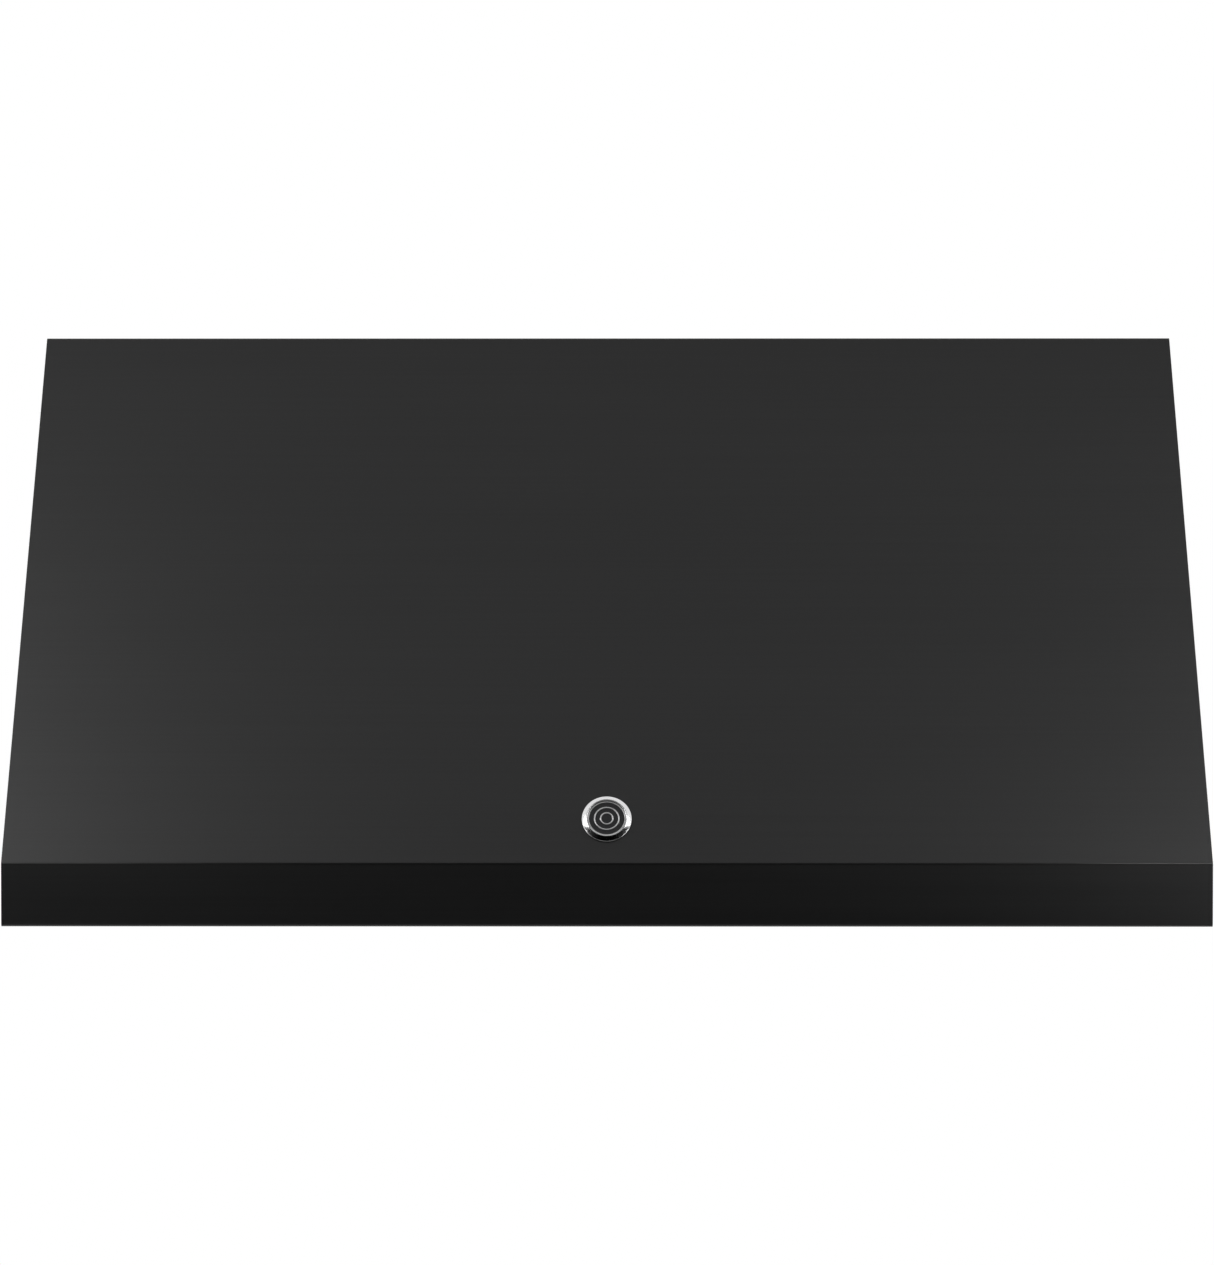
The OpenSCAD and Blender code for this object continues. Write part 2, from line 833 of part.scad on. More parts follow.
// ---------- Controls ----------

strip_z = shelf_z - strip_proud;
cap_edge = 0.8;

function button_x(i) = (i - (len(BUTTONS) - 1) / 2) * button_pitch;

// Block that fills the shelf's window for the strip, inset by a gap
module strip_block(gap, low, high) {
    half = [strip_half, strip_d / 2] - strip_rim - [gap, gap];
    block([-half[0], shelf_mid_y - half[1], low], [half[0], shelf_mid_y + half[1], high]);
}

module control_strip() {
    color(black_plastic) difference() {
        union() {
            block(
                [-strip_half, shelf_mid_y - strip_d / 2, strip_z],
                [strip_half, shelf_mid_y + strip_d / 2, shelf_z]
            );
            strip_block(seam, strip_z, strip_z + strip_t);
        }
        for (i = [0:len(BUTTONS) - 1])
            hole_z(button_x(i), shelf_mid_y, strip_z, button_r + button_gap, strip_t);
    }
}

// Push button: a domed cap under the strip, held by the flange above it
module button(i) {
    cap_h = button_proud + strip_t + play;
    stem_h = board_z - switch_h - button_travel - play - strip_z + button_proud;
    color(black_plastic) translate([button_x(i), shelf_mid_y, strip_z - button_proud]) {
        cylinder(r1 = button_r - cap_edge, r2 = button_r, h = cap_edge);
        translate([0, 0, cap_edge]) cylinder(r = button_r, h = cap_h - cap_edge);
        translate([0, 0, cap_h]) cylinder(r = button_r + button_lip, h = button_flange);
        translate([0, 0, cap_h]) cylinder(r = stem_r, h = stem_h - cap_h);
    }
}

module control_switches() {
    color(black_plastic)
        for (i = [0:len(BUTTONS) - 1])
            translate([button_x(i), shelf_mid_y, board_z - switch_h / 2])
                cube([switch_w, switch_w, switch_h], center = true);
}

module control_board() {
    color([0.1, 0.35, 0.2])
        block(
            [-strip_half, shelf_mid_y - board_d / 2, board_z],
            [strip_half, shelf_mid_y + board_d / 2, board_z + board_t]
        );
}

ledge_w = 6;
ledge_h = 3;

// Cover that stands on the shelf and carries the board on two ledges
module control_box() {
    outside = [cover_half_w, cover_d / 2];
    inside = outside - [cover_t, cover_t];
    top = board_z + cover_room;
    color(black_plastic) translate([0, shelf_mid_y, 0]) {
        difference() {
            block([-outside[0], -outside[1], shelf_top], [outside[0], outside[1], top]);
            block([-inside[0], -inside[1], shelf_top - over], [inside[0], inside[1], top - cover_t]);
        }
        for (side = [-1, 1])
            on_side(side)
                block(
                    [strip_half - ledge_w, -inside[1] - over, board_z - ledge_h],
                    [inside[0] + over, inside[1] + over, board_z]
                );
    }
}

// ---------- Blower ----------

// Scroll's outline in side view, inset from its outer face: a spiral that opens into the outlet
function scroll_point(part, inset) =
    let (a = scroll_from + (360 - scroll_from) * part, r = scroll_r + scroll_growth * part - inset)
    [blower_y + r * cos(a), blower_z + r * sin(a)];

function scroll_outline(inset, extra) = concat(
    [for (i = [0:40]) scroll_point(i / 40, inset)],
    [[outlet_back - inset, plenum_z + extra], [outlet_front + inset, plenum_z + extra]],
    inset > 0 ? [[outlet_front + inset, scroll_point(0, inset)[1]]] : []
);

module scroll(side) {
    out = scroll_side + scroll_w;
    color(galvanised) on_side(side) difference() {
        union() {
            translate([scroll_side + scroll_w / 2, 0, 0]) along_x(scroll_w) polygon(scroll_outline(0, 0));
            block(
                [scroll_side + 1, outlet_front - outlet_flange, plenum_z - scroll_t],
                [out + outlet_flange, outlet_back + outlet_flange, plenum_z]
            );
        }
        translate([scroll_side + scroll_w / 2, 0, 0]) along_x(scroll_w - 2 * scroll_t)
            polygon(scroll_outline(scroll_t, over));
        translate([scroll_side - over, blower_y, blower_z]) rotate([0, 90, 0])
            cylinder(r = boss_hole_r, h = scroll_t + 2 * over);
        translate([out - scroll_t - over, blower_y, blower_z]) rotate([0, 90, 0])
            cylinder(r = inlet_r, h = scroll_t + 2 * over);
    }
}

bell_flange = 16;
bell_w = 9;
bell_h = 8;

// Bell mouth on each scroll's inlet
module inlet_rings() {
    color(galvanised)
        for (side = [-1, 1])
            on_side(side) translate([scroll_side + scroll_w, blower_y, blower_z]) rotate([0, 90, 0])
                rotate_extrude($fn = 96)
                    polygon([
                        [inlet_r, 0],
                        [inlet_r + bell_flange, 0],
                        [inlet_r + bell_flange, scroll_t],
                        [inlet_r + bell_w, scroll_t],
                        [inlet_r + bell_w, 0.75 * bell_h],
                        [inlet_r + 0.8 * bell_w, bell_h],
                        [inlet_r + 0.45 * bell_w, bell_h],
                        [inlet_r + 0.1 * bell_w, 0.7 * bell_h]
                    ]);
}

bell_step = 4;
bell_end = 15;
boss_proud = 5;
bolt_r = 3;
bolt_inset = 8;
vent = [12, 5, 8];

module motor() {
    color([0.16, 0.17, 0.18]) translate([0, blower_y, blower_z]) rotate([0, 90, 0]) difference() {
        union() {
            cylinder(r = motor_r, h = motor_len - 2 * bell_end, center = true);
            cylinder(r = motor_r - bell_step, h = motor_len, center = true);
            cylinder(r = boss_r, h = motor_len + 2 * boss_proud, center = true);
            for (a = [45:90:315])
                rotate([0, 0, a]) translate([motor_r - bolt_inset, 0, 0])
                    cylinder(r = bolt_r, h = motor_len + 2, center = true);
        }
        cylinder(r = shaft_r + running, h = motor_len + 2 * boss_proud + 2 * over, center = true);
        for (a = [0:30:330])
            rotate([0, 0, a]) translate([motor_r - bell_step, 0, motor_len / 2 - vent[2]])
                cube(vent, center = true);
    }
}

grommet_lip = 3;
grommet_end = scroll_side + scroll_t + 1.6;

// Rubber rings that carry the motor in the scrolls' inner walls
module motor_grommets() {
    color(rubber)
        for (side = [-1, 1])
            on_side(side) translate([0, blower_y, blower_z]) rotate([0, 90, 0])
                rotate_extrude($fn = 96)
                    polygon([
                        [boss_r + running, motor_len / 2 + play],
                        [boss_hole_r + grommet_lip, motor_len / 2 + play],
                        [boss_hole_r + grommet_lip, scroll_side],
                        [boss_hole_r - running, scroll_side],
                        [boss_hole_r - running, scroll_side + scroll_t],
                        [boss_hole_r + grommet_lip, scroll_side + scroll_t],
                        [boss_hole_r + grommet_lip, grommet_end],
                        [boss_r + running, grommet_end]
                    ]);
}

hub_r = 14;
hub_len = 30;
shaft_tail = 4;
hub_grip = 0.02;
plate_t = 1.4;
rim_w = 4;
rim_t = 5;
blade_d = 13;
blade_t = 0.4;
blade_lean = 14;
wheel_side = scroll_side + wheel_gap;

module motor_shaft() {
    color(stainless) translate([0, blower_y, blower_z]) rotate([0, 90, 0])
        cylinder(r = shaft_r, h = 2 * (wheel_side + hub_len + shaft_tail), center = true);
}

// Forward-curved blade in the wheel's plane
function blade(inner, outer) =
    let (
        line = [for (i = [0:4]) [inner + (outer - inner) * i / 4, blade_lean * pow(i / 4, 1.6)]]
    )
    concat(
        [for (p = line) p[0] * [cos(p[1] + blade_t), sin(p[1] + blade_t)]],
        [for (p = backwards(line)) p[0] * [cos(p[1] - blade_t), sin(p[1] - blade_t)]]
    );

// Squirrel-cage wheel: back plate and hub towards the motor, ring at the inlet
module impeller(side) {
    color(galvanised) on_side(side) translate([wheel_side, blower_y, blower_z]) rotate([0, 90, 0])
        difference() {
            union() {
                cylinder(r = wheel_r, h = plate_t);
                cylinder(r = hub_r, h = hub_len);
                translate([0, 0, wheel_w - rim_w]) difference() {
                    cylinder(r = wheel_r, h = rim_w);
                    translate([0, 0, -over]) cylinder(r = wheel_r - rim_t, h = rim_w + 2 * over);
                }
                translate([0, 0, plate_t / 2]) linear_extrude(wheel_w - rim_w)
                    for (k = [0:blade_count - 1])
                        rotate([0, 0, k * 360 / blade_count])
                            polygon(blade(wheel_r - blade_d, wheel_r - 0.6));
            }
            translate([0, 0, -over]) cylinder(r = shaft_r + hub_grip, h = hub_len + 2 * over);
        }
}

can_r = 19;
can_len = 70;
can_z = plenum_z + 45;
can_y = plenum_front - can_r - play;
terminal_apart = 12;
terminal_r = 2;
terminal_h = 7;
strap_t = 1.2;
strap_w = 14;
strap_tab = 10;

// Run capacitor on the plenum's front wall
module capacitor() {
    color([0.75, 0.75, 0.72]) translate([0, can_y, can_z]) rotate([0, 90, 0]) {
        cylinder(r = can_r, h = can_len, center = true);
        for (y = [-1, 1])
            translate([0, y * terminal_apart / 2, can_len / 2]) cylinder(r = terminal_r, h = terminal_h);
    }
}

module capacitor_strap() {
    outer = can_r + strap_t;
    color(galvanised) translate([0, can_y, can_z]) along_x(strap_w) {
        difference() {
            union() {
                circle(outer);
                translate([can_r + play - strap_t, -outer - strap_tab])
                    square([strap_t, 2 * (outer + strap_tab)]);
            }
            circle(can_r + running);
            translate([can_r + play, -2 * outer]) square(4 * outer);
        }
    }
}

// Box that joins the two outlets to the duct collar
module plenum() {
    t = scroll_t;
    color(galvanised) difference() {
        union() {
            block([-plenum_half_w, plenum_front, plenum_z], [plenum_half_w, plenum_back, top_under]);
            block(
                [-plenum_half_w - plenum_flange[0], plenum_front - plenum_flange[1], top_under - t],
                [plenum_half_w + plenum_flange[0], plenum_back + plenum_flange[1], top_under]
            );
        }
        block(
            [-plenum_half_w + t, plenum_front + t, plenum_z + t],
            [plenum_half_w - t, plenum_back - t, top_under + over]
        );
        for (side = [-1, 1])
            on_side(side)
                block(
                    [scroll_side + scroll_t, outlet_front + scroll_t, plenum_z - over],
                    [scroll_side + scroll_w - scroll_t, outlet_back - scroll_t, plenum_z + t + over]
                );
        collar_screw_places() hole_z(0, 0, top_under - t, screw_hole_r, t);
    }
}

// ---------- Duct collar and damper ----------

stop_d = 6;
stop_h = 4;

// Flanged socket for the duct, stepped in below to a sleeve that holds the damper
module duct_collar() {
    socket_outer = collar_r + collar_t;
    color(galvanised) difference() {
        translate([0, duct_y, 0]) union() {
            translate([0, 0, collar_bottom])
                cylinder(r = sleeve_r + collar_t, h = collar_h - collar_t, $fn = 128);
            translate([0, 0, shoulder_z - collar_t])
                cylinder(r = socket_outer, h = collar_top - shoulder_z + collar_t, $fn = 128);
            translate([0, 0, collar_top - collar_t])
                cylinder(r = socket_outer + collar_lip, h = collar_t, $fn = 128);
        }
        translate([0, duct_y, 0]) difference() {
            translate([0, 0, collar_bottom - over]) cylinder(r = sleeve_r, h = collar_h, $fn = 128);
            for (a = [50, 130, 230, 310])
                rotate([0, 0, a]) translate([sleeve_r, 0, rod_z - flap_t / 2 - play - stop_h / 2])
                    cube([2 * stop_d, 10, stop_h], center = true);
        }
        translate([0, duct_y, shoulder_z]) cylinder(r = collar_r, h = collar_h, $fn = 128);
        translate([0, duct_y, rod_z]) rotate([0, 90, 0])
            cylinder(r = rod_r + running, h = 3 * collar_r, center = true);
        collar_screw_places() hole_z(0, 0, collar_top - collar_t, screw_hole_r, collar_t);
    }
}

module damper_rod() {
    color(stainless) translate([0, duct_y, rod_z]) rotate([0, 90, 0])
        cylinder(r = rod_r, h = 2 * (sleeve_r + collar_t + 2), center = true);
}

// Half-round flap with knuckles on the rod. The front flap opens from +1 and the rear one from -1
module damper_flap(front) {
    color(galvanised) translate([0, duct_y, rod_z]) mirror([0, front ? 1 : 0, 0]) {
        difference() {
            cylinder(r = flap_r, h = flap_t, center = true, $fn = 128);
            block([-2 * flap_r, -2 * flap_r, -over], [2 * flap_r, knuckle_r + 0.5, over]);
        }
        for (side = [-1, 1]) {
            x = side * (front ? 3 : 1.4) * knuckle_w;
            difference() {
                union() {
                    translate([x, 0, 0]) rotate([0, 90, 0])
                        cylinder(r = knuckle_r, h = knuckle_w, center = true);
                    block(
                        [x - knuckle_w / 2, 0, -flap_t / 2],
                        [x + knuckle_w / 2, knuckle_r + 1.5, flap_t / 2]
                    );
                }
                translate([x, 0, 0]) rotate([0, 90, 0])
                    cylinder(r = rod_r + running, h = knuckle_w + 2 * over, center = true);
            }
        }
    }
}

// ---------- Wiring ----------

box_low = top_under - box_size[2];

module junction_box() {
    color(galvanised) difference() {
        block([box_x, box_y, box_low], [box_x + box_size[0], box_y + box_size[1], top_under]);
        block(
            [box_x + box_t, box_y + box_t, box_low - over],
            [box_x + box_size[0] - box_t, box_y + box_size[1] - box_t, top_under + over]
        );
        translate([box_x + box_size[0] - box_t - over, harness_y, harness_z]) rotate([0, 90, 0])
            cylinder(r = harness_r + play, h = box_t + 2 * over);
        hole_y(harness_x, box_y, harness_z, harness_r + play, box_t);
    }
}

cover_rim = 8;

// Cover under the box, with its rim turned up round the walls
module junction_cover() {
    inside = [seam, seam, 0];
    outside = inside + box_t * [1, 1, 1];
    low = [box_x, box_y, box_low];
    high = low + [box_size[0], box_size[1], cover_rim];
    color(galvanised) difference() {
        block(low - outside, [high[0] + outside[0], high[1] + outside[1], high[2]]);
        block(low - inside, high + inside + [0, 0, over]);
    }
}

harness_r = 4;
lead_r = 2.5;
wire_bend = 14;
wire_off = wire_bend - (wire_bend - harness_r - play) / sqrt(2);
harness_z = box_low + box_size[2] / 2;
harness_y = plenum_back + wire_off;
harness_x = conduit_x;
control_end = -cover_half_w;
lead_z = shelf_top + 22;
lead_y = 14;

// Where the harness lies against the slope's inner face, at height z
function slope_y(z) =
    front_y + (z - lip_h) * tan(slope_angle) + (sheet + play + harness_r) / cos(slope_angle);

// From the junction box, behind and under the plenum, down to the motor
motor_route = [
    [box_x + box_size[0] - 12, harness_y, harness_z],
    [0, harness_y, harness_z],
    [0, harness_y, plenum_z - wire_off],
    [0, blower_y, plenum_z - wire_off],
    [0, blower_y, blower_z + motor_r + play]
];

// From the junction box, under the top and down the slope, to the control box
slope_low = shelf_top + lamp_h + harness_r + 4;
control_route = [
    [harness_x, box_y + 12, harness_z],
    [harness_x, slope_y(harness_z), harness_z],
    [harness_x, slope_y(slope_low), slope_low],
    [control_end - 60, slope_y(slope_low), slope_low],
    [control_end - 20, shelf_mid_y, shelf_top + 14],
    [control_end - play, shelf_mid_y, shelf_top + 14]
];

wire_sides = 10;
wire_steps = 4;

// Arc round the route's corner i, from the direction it comes in to the one it leaves by
function corner(route, i) =
    let (
        u = unit(route[i] - route[i - 1]),
        v = unit(route[i + 1] - route[i]),
        turn = acos(u * v),
        w = cross(unit(cross(u, v)), u),
        center = route[i] - wire_bend * tan(turn / 2) * u + wire_bend * w
    )
    [
        for (k = [0:wire_steps])
            let (a = turn * k / wire_steps) center + wire_bend * (sin(a) * u - cos(a) * w)
    ];

function rounded(route) = concat(
    [route[0]],
    [for (i = [1:len(route) - 2]) each corner(route, i)],
    [route[len(route) - 1]]
);

// Ring of points round path point i. The fixed vector is one that no stretch of a route runs along
function wire_ring(path, i, r) =
    let (
        t = unit(path[min(i + 1, len(path) - 1)] - path[max(i - 1, 0)]),
        side = unit(cross(t, [1, 0.6, -0.8])),
        up = cross(t, side)
    )
    [
        for (k = [0:wire_sides - 1])
            let (a = 360 * k / wire_sides) path[i] + r * (cos(a) * side + sin(a) * up)
    ];

// Round wire swept along a route
module wire(route, r) {
    path = rounded(route);
    last = len(path) - 1;
    n = wire_sides;
    polyhedron(
        points = [for (i = [0:last]) each wire_ring(path, i, r)],
        faces = concat(
            [[for (k = [0:n - 1]) k]],
            [
                for (i = [0:last - 1], k = [0:n - 1])
                    let (a = i * n + k, b = i * n + (k + 1) % n)
                    each [[a, a + n, b + n], [a, b + n, b]]
            ],
            [[for (k = [n - 1:-1:0]) last * n + k]]
        )
    );
}

module wiring() {
    lead_start = -control_end + play;
    can_face = housing_r(lead_z - lead_r - shelf_top);
    lead_end = lamp_x - play - sqrt(pow(can_face, 2) - pow(lead_y - lead_r, 2));
    color(rubber) {
        wire(motor_route, harness_r);
        wire(control_route, harness_r);
        for (side = [-1, 1])
            on_side(side) translate([lead_start, shelf_mid_y + lead_y, lead_z]) rotate([0, 90, 0])
                cylinder(r = lead_r, h = lead_end - lead_start);
    }
}

// ---------- Nodes ----------

front_panel();
side_panel(-1);  // left_side_panel
side_panel(1);  // right_side_panel
top_panel();
back_panel();
badge_ring();
badge_disc();
duct_cover();
casing_screws();
light_shelf();
liner(-1);  // left_liner
liner(1);  // right_liner
rear_rail();
filter_clips();
tray_clips();
grease_tray();
for (i = [0:len(FILTERS) - 1]) {
    filter_frame(i);
    filter_baffles(i);
    filter_handle(i);
}
lamp_housing(-1);  // lamp_housing_left
lamp_housing(1);  // lamp_housing_right
lamp_module(-1);  // lamp_module_left
lamp_module(1);  // lamp_module_right
lamp_lens(-1);  // lamp_lens_left
lamp_lens(1);  // lamp_lens_right
lamp_ring(-1);  // lamp_ring_left
lamp_ring(1);  // lamp_ring_right
control_strip();
control_board();
control_switches();
control_box();
for (i = [0:len(BUTTONS) - 1])
    button(i);
scroll(-1);  // left_scroll
scroll(1);  // right_scroll
inlet_rings();
motor();
motor_grommets();
motor_shaft();
impeller(-1);  // impeller_left
impeller(1);  // impeller_right
capacitor();
capacitor_strap();
plenum();
duct_collar();
damper_rod();
damper_flap(true);  // damper_flap_front
damper_flap(false);  // damper_flap_rear
junction_box();
junction_cover();
wiring();
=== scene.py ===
import json
import math

import bmesh
import bpy
from bpy.props import FloatProperty, FloatVectorProperty, PointerProperty
from mathutils import Matrix, Vector

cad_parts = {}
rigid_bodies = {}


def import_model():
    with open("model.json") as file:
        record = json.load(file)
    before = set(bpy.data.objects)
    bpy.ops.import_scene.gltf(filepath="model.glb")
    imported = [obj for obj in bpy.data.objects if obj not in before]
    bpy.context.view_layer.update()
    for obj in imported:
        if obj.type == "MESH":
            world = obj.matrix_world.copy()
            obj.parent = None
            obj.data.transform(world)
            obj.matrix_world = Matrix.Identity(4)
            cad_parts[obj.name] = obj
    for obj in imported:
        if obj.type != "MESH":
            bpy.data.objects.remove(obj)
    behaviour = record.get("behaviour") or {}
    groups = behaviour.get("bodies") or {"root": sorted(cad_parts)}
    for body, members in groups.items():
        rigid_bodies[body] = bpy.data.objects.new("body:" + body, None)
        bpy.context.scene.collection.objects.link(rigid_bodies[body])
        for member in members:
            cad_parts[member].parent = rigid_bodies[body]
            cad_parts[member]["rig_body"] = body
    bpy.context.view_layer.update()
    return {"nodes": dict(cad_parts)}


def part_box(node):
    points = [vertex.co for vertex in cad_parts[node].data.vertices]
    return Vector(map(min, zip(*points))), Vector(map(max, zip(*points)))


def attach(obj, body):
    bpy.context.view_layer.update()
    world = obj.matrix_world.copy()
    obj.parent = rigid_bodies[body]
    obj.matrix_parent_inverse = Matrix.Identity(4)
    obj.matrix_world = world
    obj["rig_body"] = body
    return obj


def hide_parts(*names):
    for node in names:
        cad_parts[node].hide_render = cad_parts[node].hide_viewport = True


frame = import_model()

bl_info = {
    "name": "Canopy Range Hood",
    "version": (1, 0, 0),
    "blender": (4, 5, 0),
    "location": "View3D > Sidebar > Range Hood",
    "description": "Dresses the casing, filters, lamps, controls and blower of a canopy range hood",
    "category": "Add Mesh",
}

WELD_DISTANCE = 0.000002
FILTERS = ("left", "center", "right")
BUTTONS = ("light", "off", "low", "medium", "high")
SIDES = ("left", "right")


# Sizes and colours


def length(name, description, default):
    return FloatProperty(name=name, description=description, default=default, min=0.0, unit="LENGTH", precision=5)


def colour(name, description, default):
    return FloatVectorProperty(
        name=name, description=description, default=default, size=3, min=0.0, max=1.0, subtype="COLOR"
    )


def power(name, default):
    return FloatProperty(name=name, description="Power of this lamp in watts", default=default, min=0.0)


class HoodSizes(bpy.types.PropertyGroup):
    """Sizes of the details that finish the hood's parts."""

    sheet_edge: length("Sheet edge", "Rounding of cut sheet edges", 0.0003)
    moulded_edge: length("Moulded edge", "Rounding of moulded plastic edges", 0.0006)
    rivet: length("Rivet", "Radius of a rivet's head", 0.0026)
    screw: length("Screw", "Radius of the washer under a hexagonal head", 0.0042)
    rail: length("Rail", "Width of a filter frame's rail", 0.014)
    fold: length("Fold", "Height of the fold between the lip and the slope", 0.0012)
    bezel: length("Bezel", "Width of the badge's bezel", 0.0044)
    insert_base: length("Insert base", "Height of the badge's insert above the slope", 0.001)
    insert_sink: length("Insert sink", "Depth of the insert's face below that of its solid", 0.0008)
    band_rise: length("Band rise", "Height of the badge's bands above and below the insert's face", 0.0004)
    button_flange: length("Button flange", "Width of the flange that holds a button in", 0.0014)
    button_flange_thick: length("Button flange thickness", "Thickness of that flange", 0.0016)
    button_play: length("Button play", "Gap between that flange and the strip", 0.0003)
    button_stem: length("Button stem", "Radius of the stem that works the switch", 0.0025)
    button_dish: length("Button dish", "Depth of a button's finger dish", 0.0009)
    button_shoulder: length("Button shoulder", "Rounding of a button's edge", 0.0007)
    legend: length("Legend", "Height of the printed marks beside the buttons", 0.0075)
    legend_ink: length("Ink", "Thickness of the printed marks", 0.00012)
    led: length("LED", "Width of one light-emitting diode", 0.0028)


class HoodColours(bpy.types.PropertyGroup):
    """Base colours of the hood's finishes."""

    slate: colour("Slate", "Matt dark steel of the casing", (0.02, 0.0201, 0.0203))
    stainless: colour("Stainless", "Brushed steel of the liner and the filters", (0.56, 0.555, 0.545))
    galvanised: colour("Galvanised", "Zinc-coated sheet inside and behind", (0.42, 0.43, 0.44))
    chrome: colour("Chrome", "Bright plating of the badge's bezel", (0.74, 0.74, 0.745))
    plastic: colour("Plastic", "Black mouldings", (0.022, 0.022, 0.023))
    board: colour("Board", "Solder resist of the control board", (0.02, 0.14, 0.06))
    motor: colour("Motor", "Paint of the motor's end caps", (0.05, 0.051, 0.055))
    ink: colour("Ink", "Printed marks", (0.75, 0.75, 0.75))


class HoodStage(bpy.types.PropertyGroup):
    """Camera and lights."""

    camera_place: FloatVectorProperty(
        name="Camera place", description="Where the camera stands", default=(0.0119, -3.1376, 0.2796), unit="LENGTH"
    )
    camera_turn: FloatVectorProperty(
        name="Camera turn",
        description="Turn of the camera about each axis",
        default=(math.pi / 2 - 0.0203, 0.0, 0.0041),
        subtype="EULER",
    )
    focal: FloatProperty(name="Focal length", description="Camera lens on a 36 mm sensor", default=107.06, min=20.0)
    floor_drop: length("Floor drop", "Depth of the floor below the rim", 3.6)
    left: FloatProperty(name="Left", description="Light from the left", default=0.03, min=0.0)
    right: FloatProperty(name="Right", description="Light from the right", default=0.03, min=0.0)
    behind: FloatProperty(name="Behind", description="Light from behind", default=0.85, min=0.0)
    top_power: power("Top softbox", 4.353)
    key_power: power("Key softbox", 4.524)
    left_power: power("Left softbox", 8.922)
    right_power: power("Right softbox", 4.973)
    left_strip: power("Left strip", 0.091)
    right_strip: power("Right strip", 0.359)
    left_glint: power("Left glint", 0.081)
    right_glint: power("Right glint", 0.17)


def sizes():
    return bpy.context.scene.hood_sizes


def colours():
    return bpy.context.scene.hood_colours


# Shaders


class Signal:
    """Output of a shader node that takes part in Python arithmetic."""

    def __init__(self, graph, socket):
        self.graph = graph
        self.socket = socket

    def math(self, operation, *terms):
        return self.graph.math(operation, *terms)

    def __add__(self, other):
        return self.math("ADD", self, other)

    __radd__ = __add__

    def __sub__(self, other):
        return self.math("SUBTRACT", self, other)

    def __rsub__(self, other):
        return self.math("SUBTRACT", other, self)

    def __mul__(self, other):
        return self.math("MULTIPLY", self, other)

    __rmul__ = __mul__


class Graph:
    """Node tree, emptied and then built up again."""

    def __init__(self, tree):
        self.tree = tree
        self.tree.nodes.clear()

    def node(self, kind, settings=None, inputs=None, output=0):
        made = self.tree.nodes.new(kind)
        for name, value in (settings or {}).items():
            setattr(made, name, value)
        for name, value in (inputs or {}).items():
            if isinstance(value, Signal):
                self.tree.links.new(value.socket, made.inputs[name])
            else:
                made.inputs[name].default_value = value
        return Signal(self, made.outputs[output]) if made.outputs else None

    def math(self, operation, *terms):
        return self.node("ShaderNodeMath", {"operation": operation}, dict(enumerate(terms)))

    def axis(self, vector, name):
        return self.node("ShaderNodeSeparateXYZ", None, {"Vector": vector}, output=name)

    def rays(self, kind):
        return self.node("ShaderNodeLightPath", output=kind)

    def shown(self, reach):
        """1 to the camera, and the reach's own value in mirrors and through glass."""
        mirrored = self.rays("Is Glossy Ray") + self.rays("Is Transmission Ray")
        return self.rays("Is Camera Ray") + mirrored * reach

    def noise(self, vector, scale=1.0, detail=2.0, rough=0.5):
        inputs = {"Vector": vector, "Scale": scale, "Detail": detail, "Roughness": rough}
        return self.node("ShaderNodeTexNoise", None, inputs)

    def ramp(self, value, low, high):
        """Carries value from 0 at low to 1 at high, smoothly."""
        settings = {"interpolation_type": "SMOOTHSTEP"}
        return self.node("ShaderNodeMapRange", settings, {"Value": value, "From Min": low, "From Max": high})

    def tint(self, first, second, factor):
        """Mixes two colours by a value."""
        settings = {"data_type": "RGBA"}
        return self.node("ShaderNodeMix", settings, {0: factor, 6: rgba(first), 7: rgba(second)}, output=2)

    def bump(self, height, distance, strength=1.0):
        return self.node("ShaderNodeBump", None, {"Height": height, "Distance": distance, "Strength": strength})


class Finish(Graph):
    """Node tree of a new material, placed by the object's own coordinates."""

    def __init__(self, name):
        self.material = bpy.data.materials.new(name)
        self.material.use_nodes = True
        super().__init__(self.material.node_tree)
        self.place = self.node("ShaderNodeTexCoord", output="Object")

    def mapped(self, scale):
        """The object's coordinates, stretched along each axis."""
        return self.node("ShaderNodeMapping", None, {"Vector": self.place, "Scale": scale})

    def surface(self, **inputs):
        named = {name.replace("_", " "): value for name, value in inputs.items()}
        shader = self.node("ShaderNodeBsdfPrincipled", None, named)
        self.node("ShaderNodeOutputMaterial", None, {"Surface": shader})
        return self.material


def rgba(tone):
    return tone if isinstance(tone, Signal) else (*tone[:3], 1.0)


def scaled(tone, factor):
    return tuple(min(channel * factor, 1.0) for channel in tone)


PLAIN = (1.0, 1.0, 1.0, 1.0)
FINISHES = {}


def finish(maker):
    """Keeps one material for each maker, made when it is first asked for."""

    def kept():
        if maker.__name__ not in FINISHES:
            FINISHES[maker.__name__] = maker()
        return FINISHES[maker.__name__]

    return kept


